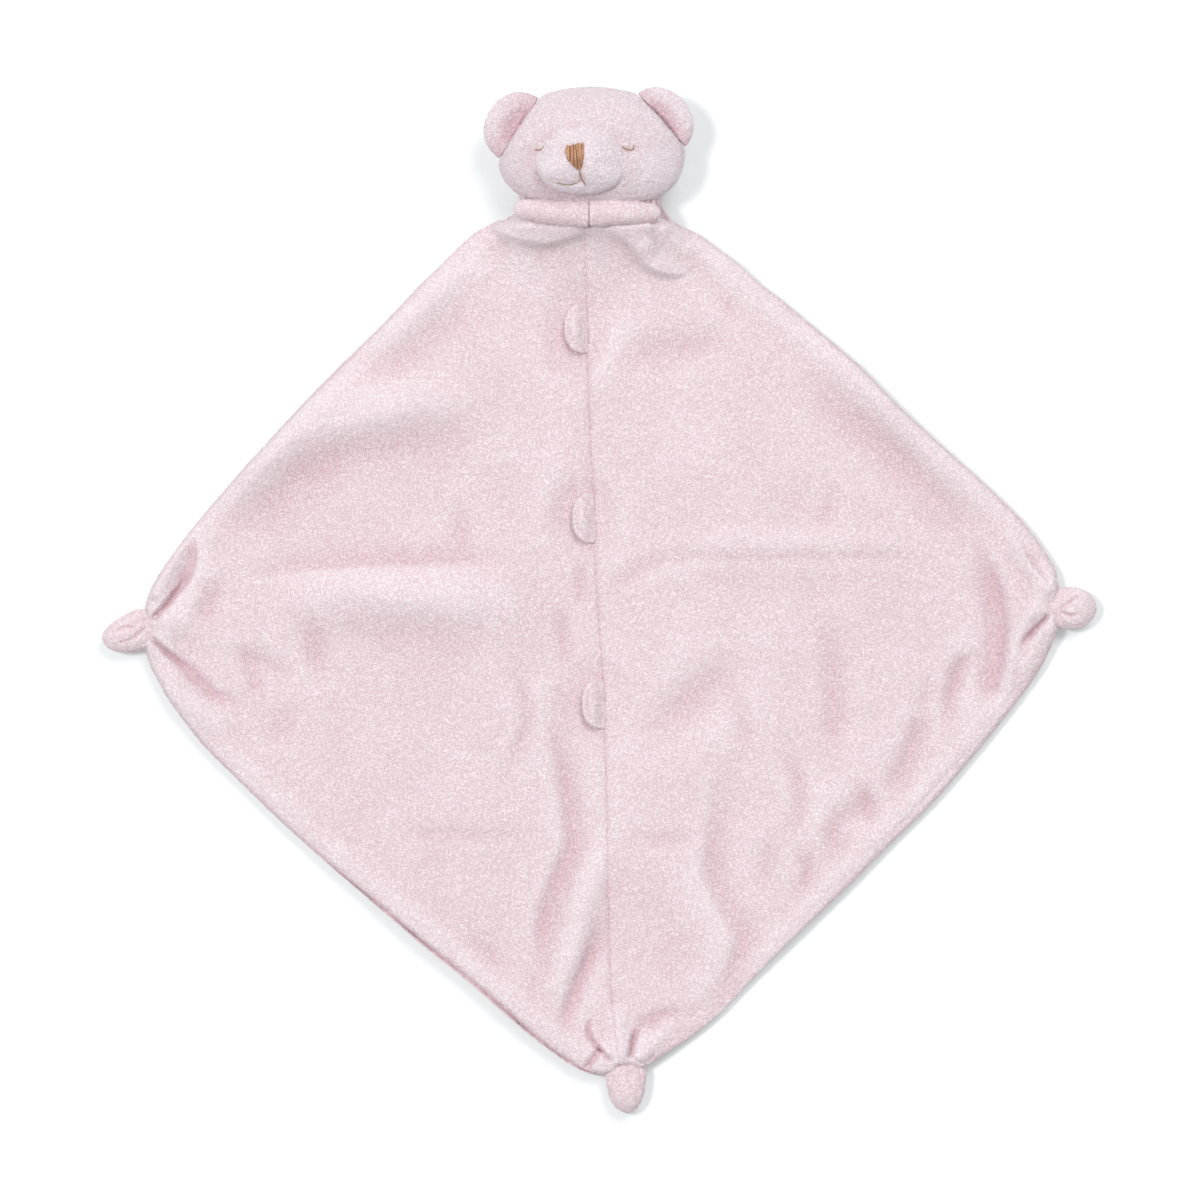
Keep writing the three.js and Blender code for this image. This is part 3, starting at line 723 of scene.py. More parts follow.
# Folds right of it
RIGHT_FOLDS = (
    Fold(((48, -60), (48, -90), (45, -112), (45, -128), (50, -140), (57, -153), (55.5, -165), (50, -175),
          (41, -184), (26, -190)), 2.2, 6, 15, 0.5),
    Fold(((54, -60), (54.5, -90), (52.5, -112), (52.5, -128), (58, -143), (65, -155), (63.5, -167),
          (57.5, -179), (47, -189), (32, -195), (19, -199)), -1.8, 8, 5.5, 0.5, 0.05),
    Fold(((104, 4), (107, -28), (107.5, -55), (103, -90)), -2.2, 7.5, 6.5, 0.45, 0.45),
    Fold(((58, -30), (66, -56), (68, -80)), -1.4, 6, 6, 0.45, 0.45),
    Fold(((80, -62), (91, -84), (91, -100), (83, -118)), -1.9, 5, 5, 0.45, 0.45),
    Fold(((76, -14), (57, -33), (43, -45), (29, -58), (10, -76)), -3, 12, 10, 0.45, 0.45),
    Fold(((0, 7), (25, 14), (60, 23), (110, 24), (168, 22)), 2.4, 12, 9),
    Fold(((1, 2), (14, 11), (30, 18), (60, 19.5), (110, 20), (162, 19)), -1.2, 5, 3.6, 0.1, 0.25),
    Fold(((86, 130), (107, 111), (129, 92), (148, 73), (165, 55), (182, 36)), 3.6, 9, 14, 0.4, 0.3),
    Fold(((88, 112), (104, 97), (122, 80), (136, 67), (152, 51), (164, 36), (176, 20)), -3.4, 9, 12, 0.4,
         0.3),
    Fold(((178, -24), (167, -29), (163, -38), (160.5, -48), (161.5, -66)), -3.4, 5, 4.6, 0.35, 0.45),
    Fold(((158, -44), (148, -58), (144, -68), (139, -79), (129, -95)), -2.9, 6.5, 6, 0.4, 0.4),
    Fold(((154, -32), (151, -43), (145, -54)), -1.4, 4, 4, 0.45, 0.45),
    Fold(((134, -91), (118, -96), (109, -103), (107, -112), (103, -128)), -2.5, 6.5, 6, 0.4, 0.4),
    Fold(((117, -80), (123, -94), (126, -108)), -2, 4.5, 4.5, 0.45, 0.45),
    Fold(((92, -107), (95.5, -121), (95, -129), (88, -141)), -1.9, 4.6, 4.6, 0.45, 0.45),
    Fold(((82, -100), (77, -122), (73, -142)), -1.2, 6, 6, 0.45, 0.45),
    Fold(((5, -109.5), (28, -110), (52, -108)), -0.7, 4, 4),
    Fold(((98, 30), (106, 42), (111, 58)), -1, 4, 4, 0.45, 0.45),
    Fold(((0, 102), (20, 112), (45, 116), (70, 126)), -2, 9, 9, 0.4, 0.4),
    Fold(((176, -62), (158, -82), (141, -101), (122, -119)), -0.5, 1.2, 1.2),
)

# Gathers that run in from the three tied corners
CORNER_FOLDS = (
    Fold(((-206, -1), (-199.5, 12), (-194, 23), (-187, 34)), 2.8, 3.5, 3.6, 0.1),
    Fold(((-206.5, -9.5), (-200, -3), (-195.5, 3), (-190.5, 9), (-188, 15)), -4.4, 1.3, 1.5, 0.1, 0.6),
    Fold(((-199, -2), (-195, 4), (-190, 10), (-187.2, 17), (-187, 25), (-188.5, 35)), -3.4, 5, 1.8, 0.4, 0.4),
    Fold(((-203, -12), (-193, -8), (-186, 4), (-182, 16), (-181, 28)), 2, 5, 7, 0.1),
    Fold(((-207, -17), (-200, -23.5), (-192, -30), (-186, -35.5)), -3.8, 1.5, 1.4, 0.1, 0.6),
    Fold(((-199, -24.5), (-190, -31.5), (-183, -38), (-174, -45), (-160, -47.5)), -2.6, 2.6, 3.8, 0.4, 0.5),
    Fold(((-205, -26), (-198, -40), (-182, -53), (-164, -58)), 2, 5, 6),
    Fold(((-171, -14), (-163, -28), (-158.5, -38), (-162, -48)), -1.6, 5, 4.5, 0.45),
    Fold(((-168, -22), (-154, -28.5), (-138, -38)), -1.5, 5, 4.5, 0.4, 0.45),
    Fold(((-137, -2), (-131, -22), (-127, -44)), -2.2, 6.5, 6, 0.45, 0.45),
    Fold(((-177, 14), (-180, 0), (-184, -14)), -2, 6, 6, 0.4, 0.4),
    Fold(((170, 34), (176, 20), (182, 4), (184, -10), (183, -25), (180.5, -40), (177, -52)), -4.3, 3.8, 8,
         0.4, 0.2),
    Fold(((207, -6.5), (203, -10.5), (198.5, -15.5), (195, -19.5), (193, -24)), -4, 1.15, 1.3, 0.1, 0.5),
    Fold(((203, -1), (194, -12), (190, -27), (187, -46)), 3, 3.4, 3.4, 0.1),
    Fold(((190, -27), (191, -33), (193, -38)), -1.2, 1.8, 1.8),
    Fold(((186, 34), (196, 18), (208, 2)), 1.8, 2.5, 3.5, 0.35, 0.1),
    Fold(((192, 27), (199, 17.5), (205, 9.5), (209, 5)), -1.8, 1.3, 1.5),
    Fold(((205, -12), (199, -24), (191, -38)), 1.6, 4, 3, 0.1),
    Fold(((-3, -189), (-5.5, -198), (-2.8, -203.5), (0.4, -207)), -2.4, 1.1, 1.1, 0.5, 0.05),
    Fold(((0.4, -206.5), (-3, -211.5), (-7, -216.5)), -3.4, 1.2, 1.9, 0.05, 0.2),
    Fold(((0.4, -206.5), (3, -210), (6.5, -212.5)), -2.8, 1.1, 1.1, 0.05),
    Fold(((19, -196.5), (16.6, -199), (15.2, -203.5), (13.4, -212)), -4.2, 1.2, 1.4, 0.4, 0.2),
    Fold(((42, -187), (30, -191), (21, -194.5), (16, -201)), -1.6, 2.5, 3.5, 0.5, 0.3),
    Fold(((20, -213.5), (26, -209)), -2, 1.8, 1.8, 0.05),
    Fold(((8, -184), (9, -199), (10.5, -214)), 2.4, 4, 4, 0.35, 0.05),
    Fold(((36, -190), (26, -201), (18, -212)), 2, 4, 4, 0.35, 0.05),
)

# Drapes that hang out from under the collar
COLLAR_FOLDS = (
    Fold(((-52, 174), (-44, 168.5), (-36, 165.4), (-25.3, 164), (-14.7, 166.2), (-4, 170.5)), 4.4, 8, 1.7,
         0.25, 0.2),
    Fold(((1, 171), (9.2, 167), (17, 160.4), (21.8, 154), (28.4, 151), (36.8, 150.4), (45, 154)), 4.3, 7.5,
         1.7, 0.2),
    Fold(((21.5, 176), (23.2, 165), (24.2, 155)), 2.4, 1.8, 6, 0.05),
    Fold(((-42, 172), (-30, 171), (-16, 170), (-4, 170.5), (10, 170.5), (28, 171)), 2.4, 4, 4, 0.2, 0.2),
    Fold(((30, 172), (36, 164), (46, 158)), 1.4, 4, 4, 0.05),
    Fold(((-62, 158), (-50, 146)), 1.4, 5, 6),
    Fold(((42, 162), (47, 151), (53, 142), (60, 133), (66, 124)), -1.8, 5, 4.5),
)


@dataclass(frozen=True)
class BlanketForm:
    """Outline and heights of the laid blanket, two layers of velour sewn along their edges."""

    left_corner: Spot = (-208.4, -13.3)
    right_corner: Spot = (210.2, -2.8)
    bottom_corner: Spot = (11.0, -216.5)
    top_corner: Spot = (-9.2, 213.9)  # hidden in the neck
    left_upper: Path = (
        (-208.9, -3.4), (-207.9, 1.4), (-205.6, 6.9), (-200.1, 16.1), (-186.3, 34.5), (-170.7, 52.9),
        (-154.1, 71.3), (-137.1, 89.7), (-119.1, 108.1), (-100.7, 126.5), (-82.8, 144.9),
        (-73.1, 154.1), (-63.9, 163.3), (-57.5, 169), (-52.7, 171.8), (-47.2, 174.5), (-40.3, 177.6),
    )
    right_upper: Path = (
        (211.0, 5.6), (210.6, 9.2), (208.1, 17.0), (195.3, 35.1), (177.3, 53.1), (156.9, 71.3),
        (137.1, 89.7), (119.1, 108.1), (97.1, 126.5), (74.5, 144.9), (64.4, 154.1), (53.8, 162.2),
        (50, 164.9), (44, 169), (37.5, 171.8), (32.5, 174.5), (27.9, 177.6),
    )
    left_lower: Path = (
        (-209.2, -22.2), (-207, -29.9), (-202.4, -39.1), (-196.9, -48.3), (-182.6, -66.7),
        (-164.2, -85.1), (-144.9, -103.5), (-124.2, -121.9), (-102.1, -140.3), (-80, -158.7),
        (-57, -177.1), (-36.3, -195.5), (-25.3, -204.7), (-12.9, -213.4), (-4.6, -217.4), (2.8, -218.4),
    )
    right_lower: Path = (
        (210.9, -13), (209.8, -16.5), (207.8, -20.9), (203.3, -30.2), (197.3, -39.4), (183, -57.9),
        (167.8, -76.3), (151.7, -94.7), (132.9, -113.1), (114.9, -131.5), (96.5, -149.9),
        (77.7, -168.3), (60.1, -186.6), (49.5, -195.8), (37, -205), (26.1, -212), (20.7, -215.3),
    )
    seam: Path = (
        (9.2, -216.5), (6.0, -190), (4.3, -160), (3.9, -130), (3.2, -93), (1.9, -50), (0.6, -25),
        (-1.2, 0), (-2.5, 25), (-3.2, 50), (-4.3, 75), (-5.5, 100), (-5.9, 125), (-6.5, 150), (-6.5, 170.4),
    )
    middle_z: float = 3.75  # where the layers meet
    top_z: float = 7.5
    fullness: float = 1.5  # of the cloth away from its tabs
    low_z: float = 4.7  # of the deepest valleys
    low_round: float = 0.7
    rim_z: float = 5.6
    edge_round: float = 3.2
    edge_roll: float = 1.0
    roll_in: float = 7.0
    roll_width: float = 5.0
    seam_dip: float = 0.8
    seam_half: float = 1.5
    neck_x: float = -4.6
    neck_y: float = 170.4
    neck_rise: float = 14.0
    neck_length: float = 38.0
    neck_half: float = 48.0
    neck_ramp: float = 22.0
    gather_rise: float = 4.2
    gather_reach: float = 13.0
    tie_dip: float = 4.5  # where the cloth goes in under a knob's root
    tie_reach: float = 6.0
    tab_places: Path = ((-5.9, 124.9), (-2.5, 37.7), (2.1, -47.8))
    tab_calm: float = 12.0
    tab_middle: float = 5.0  # left of its root
    tab_share: float = 0.8
    billows: tuple[tuple[float, int, float], ...] = ((52, 31, 1.5), (23, 32, 0.6))  # size, seed, rise
    back_lift: float = 0.5
    back_rim: float = 0.4  # under the middle
    back_billows: tuple[float, int, float] = (38, 51, 0.35)

    def edges(self) -> list[Array]:
        """Draws the four edges.

        Returns:
            The paths from bottom to left, bottom to right, left to top and right to top.
        """
        bottom, left, right, top = self.bottom_corner, self.left_corner, self.right_corner, self.top_corner
        return [
            smooth_path((bottom, *reversed(self.left_lower), left)),
            smooth_path((bottom, *reversed(self.right_lower), right)),
            smooth_path((left, *self.left_upper, top)),
            smooth_path((right, *self.right_upper, top)),
        ]

    def seam_x(self, y: Array) -> Array:
        """Returns where the centre seam lies."""
        line = smooth_path(self.seam)
        return np.interp(y, line[:, 1], line[:, 0])

    def lattice(self, cells: int) -> tuple[Array, Array]:
        """Lays a square lattice over the blanket, its diagonal on the centre seam.

        Args:
            cells: Cells along each edge.

        Returns:
            The places x and y, one row for each step from the bottom corner to the right one.
        """
        shares = np.arange(cells + 1) / cells
        to_left, to_right, left_top, right_top = (along_path(edge, shares) for edge in self.edges())
        u = shares[:, None, None]
        v = shares[None, :, None]
        bottom, left, right, top = (
            np.array(corner)
            for corner in (self.bottom_corner, self.left_corner, self.right_corner, self.top_corner)
        )
        places = (1 - v) * to_right[:, None] + v * left_top[:, None]
        places = places + (1 - u) * to_left[None] + u * right_top[None]
        places -= (1 - u) * (1 - v) * bottom + u * (1 - v) * right + (1 - u) * v * left + u * v * top
        x, y = places[..., 0], places[..., 1]
        middle = np.arange(cells + 1)
        shift = self.seam_x(y[middle, middle]) - x[middle, middle]
        height = (u + v)[..., 0] / 2
        off = np.abs(u - v)[..., 0]
        x = x + np.interp(height, shares, shift) * (1 - off) ** 2
        return x, y

    def edge_distance(self, x: Array, y: Array) -> Array:
        """Measures how far places are from the sewn edge.

        Args:
            x: Places across.
            y: Places along.

        Returns:
            The distance of each place.
        """
        nearest = np.full(x.shape, 1e3)
        for path in (
            (self.left_corner, *self.left_upper),
            (self.right_corner, *self.right_upper),
            (self.left_corner, *self.left_lower, self.bottom_corner),
            (self.right_corner, *self.right_lower, self.bottom_corner),
        ):
            away, _ = path_distance(x, y, smooth_path(path, steps=3))
            nearest = np.minimum(nearest, np.abs(away))
        return nearest

    def rounding(self, x: Array, y: Array) -> tuple[Array, Array]:
        """Returns how full the cloth is at its edge, 0 to 1, and the distance from that edge."""
        away = self.edge_distance(x, y)
        inward = 1 - np.clip(away / self.edge_round, 0, 1)
        return np.sqrt(1 - inward**2), away

    def calm(self, x: Array, y: Array) -> Array:
        """Finds where the cloth lies level under the tabs.

        Args:
            x: Places across.
            y: Places along.

        Returns:
            0 under the tabs to 1 away from them.
        """
        calm = np.ones(x.shape)
        for across, along in self.tab_places:
            away = np.hypot(x - across + self.tab_middle, (y - along) * self.tab_share)
            calm *= smooth((away - self.tab_calm * self.tab_share) / self.tab_calm)
        return calm

    def front_heights(self, x: Array, y: Array) -> Array:
        """Adds up the folds, the gathers, the seam and the rounded edge of the front.

        Args:
            x: Places across.
            y: Places along.

        Returns:
            The height of the front's outer side at each place.
        """
        folds = np.full(x.shape, self.fullness)
        for fold in LEFT_FOLDS + RIGHT_FOLDS:
            folds += fold.heights(x, y)
        for size, seed, rise in self.billows:
            folds += flat_noise(x, y, size, seed) * rise
        folds *= self.calm(x, y)
        for fold in CORNER_FOLDS + COLLAR_FOLDS:
            folds += fold.heights(x, y)
        for corner in (self.left_corner, self.right_corner, self.bottom_corner):
            away = np.hypot(x - corner[0], y - corner[1])
            folds += self.gather_rise * bell(away / self.gather_reach)
            folds -= self.tie_dip * bell(away / self.tie_reach)
        down = np.clip((self.neck_y - y) / self.neck_length, 0, 1)
        across = smooth((self.neck_half - np.abs(x - self.neck_x)) / self.neck_ramp)
        folds += self.neck_rise * (1 - down) ** 2 * across
        away = np.abs(x - self.seam_x(y))
        folds -= self.seam_dip * np.exp(-away / self.seam_half)
        full, edge = self.rounding(x, y)
        folds += self.edge_roll * bell((edge - self.roll_in) / self.roll_width)
        above = (self.top_z + folds - self.low_z) / self.low_round
        risen = self.low_z + self.low_round * np.logaddexp(0, above)
        return self.rim_z + (risen - self.rim_z) * full

    def back_heights(self, x: Array, y: Array) -> Array:
        """Lifts the back a little off the floor that it lies on, and more at its sewn edge.

        Args:
            x: Places across.
            y: Places along.

        Returns:
            The height of the back's outer side at each place.
        """
        full, _ = self.rounding(x, y)
        size, seed, rise = self.back_billows
        lifted = self.back_lift + rise * flat_noise(x, y, size, seed)
        return (self.middle_z - self.back_rim) * (1 - full) + lifted * full


class ClothRegion(Enum):
    """Which lattice cells a cloth piece covers, by steps off the centre seam."""

    PANEL = "panel"
    WING = "wing"
    MIDDLE = "middle"


@dataclass
class ClothCutter:
    """Cuts sheets of cloth out of one lattice, so that neighbours meet at the same points."""

    form: BlanketForm
    cells: int
    front: bool
    stride: int = 4
    crease_share: float = 0.547  # where the side corners fold over, off the seam
    cut_y: float = 179.0
    end_y: float = 176.4  # of the cloth in the neck, past which its rows are drawn together
    end_share: float = 0.08
    end_round: float = 0.3
    ply: float = 3.0
    corner_ply: float = 0.8  # where the cloth is gathered over a knob's root
    corner_reach: float = 9.0
    hem: float = 2.5  # over which the lining rises from the sewn edge
    # Painted shade in the cloth's valleys, against its heights averaged over these widths
    painted_shade_widths: tuple[tuple[int, float], ...] = ((11, 2.2), (29, 3.6))  # cells, millimetres
    painted_shade_range: Spot = (-0.25, 0.6)
    layer_gap: float = 0.15  # from the middle to each lining
    floor_gap: float = 0.02
    collar_light_y: float = 122.0  # past which light is painted on the cloth and its painted shade is weakened, under the collar
    collar_light_over: float = 30.0
    collar_painted_light: float = 0.35
    collar_shade_cut: float = 0.55
    tab_ring: Spot = (10.6, 11.6)  # round a tab, where shade is painted on the cloth
    tab_shade: float = 0.5
    x: Array = field(init=False)
    y: Array = field(init=False)
    z: Array = field(init=False)
    row_y: Array = field(init=False)
    painted_shades: Array = field(init=False)
    normals: Array = field(init=False)

    def __post_init__(self) -> None:
        """Lays the lattice, works out its heights and the way that it faces, and paints shade and light by
        its hollows.
        """
        self.x, self.row_y = self.form.lattice(self.cells)
        past = self.end_round * np.logaddexp(0, (self.row_y - self.end_y) / self.end_round)
        self.y = self.row_y - (1 - self.end_share) * past
        heights = self.form.front_heights if self.front else self.form.back_heights
        self.z = heights(self.x, self.y)
        places = np.stack([self.x, self.y, self.z], axis=-1)
        along_u = np.gradient(places, axis=0)
        along_v = np.gradient(places, axis=1)
        normals = np.cross(along_u, along_v)
        normals /= np.maximum(np.linalg.norm(normals, axis=-1, keepdims=True), 1e-9)
        self.normals = normals if self.front else -normals
        # Painted shade in valleys and painted light on ridges, weaker at the edge and under the collar, with
        # painted light under the collar and painted shade beside each tab
        self.painted_shades = np.zeros(self.z.shape)
        for width, depth in self.painted_shade_widths:
            level = self.z
            for _ in range(3):
                level = box_mean(box_mean(level, width).T, width).T
            self.painted_shades += np.clip((level - self.z) / depth, *self.painted_shade_range)
        full, _ = self.form.rounding(self.x, self.y)
        under_collar = smooth((self.y - self.collar_light_y) / self.collar_light_over)
        self.painted_shades *= (0.4 + 0.6 * full) * (1 - self.collar_shade_cut * under_collar)
        self.painted_shades -= self.collar_painted_light * under_collar * full
        wide, tall = self.tab_ring
        for across, along in self.form.tab_places:
            ring = np.hypot((self.x - across) / wide, (self.y - along) / tall)
            below = 0.4 + 0.6 * smooth(0.7 - (self.y - along) / tall)
            shade = self.tab_shade * bell((ring - 1.05) / 0.2) * below
            self.painted_shades += np.where(self.x < across, shade, 0)

    def wanted(self, side: Side | None, region: ClothRegion) -> tuple[Array, Array, Array]:
        """Lists the coarse cells of a region.

        Args:
            side: The side of the seam, or None for both.
            region: The part of that side.

        Returns:
            Whether each cell is whole, its half towards the left corner, or its other half.
        """
        count = self.cells // self.stride
        crease = round(self.crease_share * count)
        i, j = np.meshgrid(np.arange(count), np.arange(count), indexing="ij")
        centre_y = self.row_y[self.stride // 2 :: self.stride, self.stride // 2 :: self.stride]
        kept = centre_y[:count, :count] < self.cut_y
        off = j - i
        if region is ClothRegion.MIDDLE:
            whole = np.abs(off) < crease
            left_half = off == -crease
            right_half = off == crease
        else:
            away = off if side is Side.LEFT else -off
            near = away == 0 if region is ClothRegion.PANEL else away == crease
            far = away == crease if region is ClothRegion.PANEL else np.zeros_like(near)
            whole = (away > 0) & (away < crease) if region is ClothRegion.PANEL else away > crease
            left_half, right_half = (near, far) if side is Side.LEFT else (far, near)
        return whole & kept, left_half & kept, right_half & kept

    def faces(self, cells: tuple[Array, Array, Array], step: int) -> tuple[Array, Array]:
        """Makes the faces of a region.

        Args:
            cells: Whole cells, left halves and right halves.
            step: Lattice steps for each side of a face.

        Returns:
            Four-cornered and three-cornered faces, as lattice numbers.
        """
        stride = self.stride
        inner = np.arange(0, stride, step)
        a, b = (part.ravel() for part in np.meshgrid(inner, inner, indexing="ij"))
        quads, triangles = [], []
        for kind, chosen in enumerate(cells):
            i, j = (part[:, None] * stride for part in np.nonzero(chosen))
            full = np.ones_like(a, bool) if kind == 0 else (b > a if kind == 1 else b < a)
            ci, cj = (i + a[full]).ravel(), (j + b[full]).ravel()
            quads.append(self.corners(ci, cj, step, ((0, 0), (1, 0), (1, 1), (0, 1))))
            if kind:
                on = a == b
                ci, cj = (i + a[on]).ravel(), (j + b[on]).ravel()
                turn = ((0, 0), (1, 1), (0, 1)) if kind == 1 else ((0, 0), (1, 0), (1, 1))
                triangles.append(self.corners(ci, cj, step, turn))
        return np.concatenate(quads), np.concatenate(triangles)

    def corners(self, i: Array, j: Array, step: int, turn: tuple[tuple[int, int], ...]) -> Array:
        """Returns the lattice numbers of cells' corners, in turn."""
        return np.stack([(i + du * step) * (self.cells + 1) + j + dv * step for du, dv in turn], axis=1)

    def border(self, quads: Array, triangles: Array) -> Array:
        """Finds the outer edges of faces.

        Args:
            quads: Four-cornered faces.
            triangles: Three-cornered faces.

        Returns:
            Pairs of lattice numbers in their faces' direction.
        """
        sides = (np.stack([part, np.roll(part, -1, axis=1)], axis=2) for part in (quads, triangles))
        edges = np.concatenate([part.reshape(-1, 2) for part in sides])
        big = (self.cells + 1) ** 2
        keys = edges[:, 0] * big + edges[:, 1]
        turned = edges[:, 1] * big + edges[:, 0]
        return edges[~np.isin(keys, turned)]

    def cut(self, name: str, side: Side | None, region: ClothRegion, pile: Pile) -> Piece:
        """Cuts one closed sheet: fine pile on its outer side, a plain inner side and a rim.

        Args:
            name: The piece's name.
            side: The side of the seam, or None for both.
            region: The part of that side.
            pile: The tufts of its outer side.

        Returns:
            The sheet.
        """
        cells = self.wanted(side, region)
        quads, triangles = self.faces(cells, 1)
        wide_quads, wide_triangles = self.faces(cells, self.stride)
        fine, fine_index = np.unique(np.concatenate([quads.ravel(), triangles.ravel()]), return_inverse=True)
        wide, wide_index = np.unique(
            np.concatenate([wide_quads.ravel(), wide_triangles.ravel()]), return_inverse=True
        )
        places = np.stack([self.x.ravel(), self.y.ravel(), self.z.ravel()], axis=1)
        outer = places[fine]
        inner = places[wide].copy()
        if self.front:
            corners = (self.form.left_corner, self.form.right_corner, self.form.bottom_corner)
            near = np.min([np.hypot(*(inner[:, :2] - np.array(corner)).T) for corner in corners], axis=0)
            ply = self.corner_ply + (self.ply - self.corner_ply) * smooth(near / self.corner_reach)
            low = self.form.middle_z + self.layer_gap
            opened = smooth(self.form.edge_distance(inner[:, 0], inner[:, 1]) / self.hem)
            inner[:, 2] = low + (np.maximum(inner[:, 2] - ply, low) - low) * opened
        else:
            inner[:, 2] = np.minimum(inner[:, 2] + self.ply, self.form.middle_z - self.layer_gap)
        fine_at = np.full(places.shape[0], -1)
        fine_at[fine] = np.arange(len(fine))
        wide_at = np.full(places.shape[0], -1)
        wide_at[wide] = np.arange(len(wide)) + len(fine)
        start, end = self.border(wide_quads, wide_triangles).T
        stops = [fine_at[start + (end - start) * k // self.stride] for k in range(self.stride + 1)]
        first, last = wide_at[start], wide_at[end]
        half = self.stride // 2
        rim = [np.stack([stops[k + 1], stops[k], first], axis=1) for k in range(half)]
        rim.append(np.stack([stops[half], first, last], axis=1))
        rim += [np.stack([stops[k + 1], stops[k], last], axis=1) for k in range(half, self.stride)]
        sheet_quads = fine_index[: quads.size].reshape(quads.shape)
        sheet_triangles = fine_index[quads.size :].reshape(triangles.shape)
        lining_quads = wide_index[: wide_quads.size].reshape(wide_quads.shape)[:, ::-1] + len(fine)
        lining_triangles = wide_index[wide_quads.size :].reshape(wide_triangles.shape)[:, ::-1] + len(fine)
        faces = [sheet_quads, lining_quads, np.concatenate([sheet_triangles, lining_triangles, *rim])]
        if not self.front:
            faces = [part[:, ::-1] for part in faces]
        piece = piece_from(name, np.concatenate([outer, inner]), faces)
        facing = self.normals.reshape(-1, 3)[fine]
        pile.raise_on(piece, np.concatenate([facing, np.zeros((len(inner), 3))]), len(fine))
        # The front's painted shade and light; the back gets none
        painted_shades = np.concatenate([self.painted_shades.ravel()[fine], np.zeros(len(inner))])
        note_values(piece, "painted_shade_and_light", painted_shades if self.front else 0 * painted_shades)
        if not self.front:
            rested = places_of(piece)
            rested[:, 2] = np.maximum(rested[:, 2], self.floor_gap)
            move_to(piece, rested)
        shade_smooth(piece)
        return piece


@dataclass
class Blanket:
    """The double velour blanket: two front halves, one back and the side corners that fold over."""

    form: BlanketForm = field(default_factory=BlanketForm)
    front_cells: int = 480
    back_cells: int = 288
    crease_x: float = 115.0
    crease_width: float = 30.0
    crease_z: float = 0.0078
    neck_bend: Bend = Bend("blanket", "neck", (0, 0.164, 0.022), (0, 0.176, 0.022))

    def sides(self, pile: Pile, velour: Material) -> list[Piece]:
        """Builds the front halves and their side corners.

        Args:
            pile: The tufts of their outer side.
            velour: Their material.

        Returns:
            The two front halves.
        """
        cutter = ClothCutter(self.form, self.front_cells, front=True)
        panels = []
        for side in Side:
            panel = cutter.cut(f"front_{side.word}_cloth", side, ClothRegion.PANEL, pile)
            wing = cutter.cut(f"{side.word}_corner_front_cloth", side, ClothRegion.WING, pile)
            declare(panel, velour, f"front_{side.word}_panel", self.neck_bend)
            declare(wing, velour, f"{side.word}_wing_front", self.wing_bend(side))
            panels.append(panel)
        return panels

    def back(self, pile: Pile, velour: Material) -> None:
        """Builds the back and the backs of the side corners.

        Args:
            pile: The tufts of their outer side.
            velour: Their material.
        """
        cutter = ClothCutter(self.form, self.back_cells, front=False)
        panel = cutter.cut("back_cloth", None, ClothRegion.MIDDLE, pile)
        declare(panel, velour, "back_panel", self.neck_bend)
        for side in Side:
            wing = cutter.cut(f"{side.word}_corner_back_cloth", side, ClothRegion.WING, pile)
            declare(wing, velour, f"{side.word}_wing_back", self.wing_bend(side))

    def wing_bend(self, side: Side) -> Bend:
        """Returns the stretch of a side corner's crease, between the blanket and the corner."""
        start, end = (side.value * x * MM for x in (self.crease_x, self.crease_x + self.crease_width))
        return Bend("blanket", f"{side.word}_wing", (start, 0, self.crease_z), (end, 0, self.crease_z))


@dataclass
class SeamStitches:
    """The row of stitches that lies in the valley of the centre seam."""

    form: BlanketForm
    start: float = 6.0  # in from the bottom
    end: float = 4.0
    length: float = 2.4
    gap: float = 0.9
    sink: float = 0.5  # of a stitch's ends
    thread: float = 0.22

    def build(self, surface: BVHTree, thread: Material) -> None:
        """Lays the stitches on the cloth's surface.

        Args:
            surface: The front cloth.
            thread: The thread's material.
        """
        lines = []
        y = self.form.seam[0][1] + self.start
        while y + self.length < self.form.seam[-1][1] - self.end:
            line = []
            for share in (0.0, 0.25, 0.5, 0.75, 1.0):
                at = y + self.length * share
                x = float(self.form.seam_x(np.array(at)))
                sunk = self.sink * (2 * share - 1) ** 4
                line.append((x, at, drop_on(surface, x, at) + self.thread * 0.3 - sunk))
            lines.append(line)
            y += self.length + self.gap
        piece = thread_piece("centre_seam_stitches", lines, self.thread)
        declare(piece, thread, "centre_seam_thread", "blanket")


def surface_of(*pieces: Piece) -> BVHTree:
    """Gathers pieces' surfaces, to drop things on.

    Args:
        *pieces: The pieces.

    Returns:
        A search tree of their faces, in millimetres.
    """
    points, faces, shift = [], [], 0
    for piece in pieces:
        places = places_of(piece)
        points += [Vector(place) for place in places]
        faces += [[corner + shift for corner in face.vertices] for face in piece.data.polygons]
        shift += len(places)
    return BVHTree.FromPolygons(points, faces)


def drop_on(surface: BVHTree, x: float, y: float) -> float:
    """Returns the height at which something dropped at this place lands."""
    hit = surface.ray_cast(Vector((x, y, 200)), Vector((0, 0, -1)))
    return hit[0].z if hit[0] is not None else 0.0


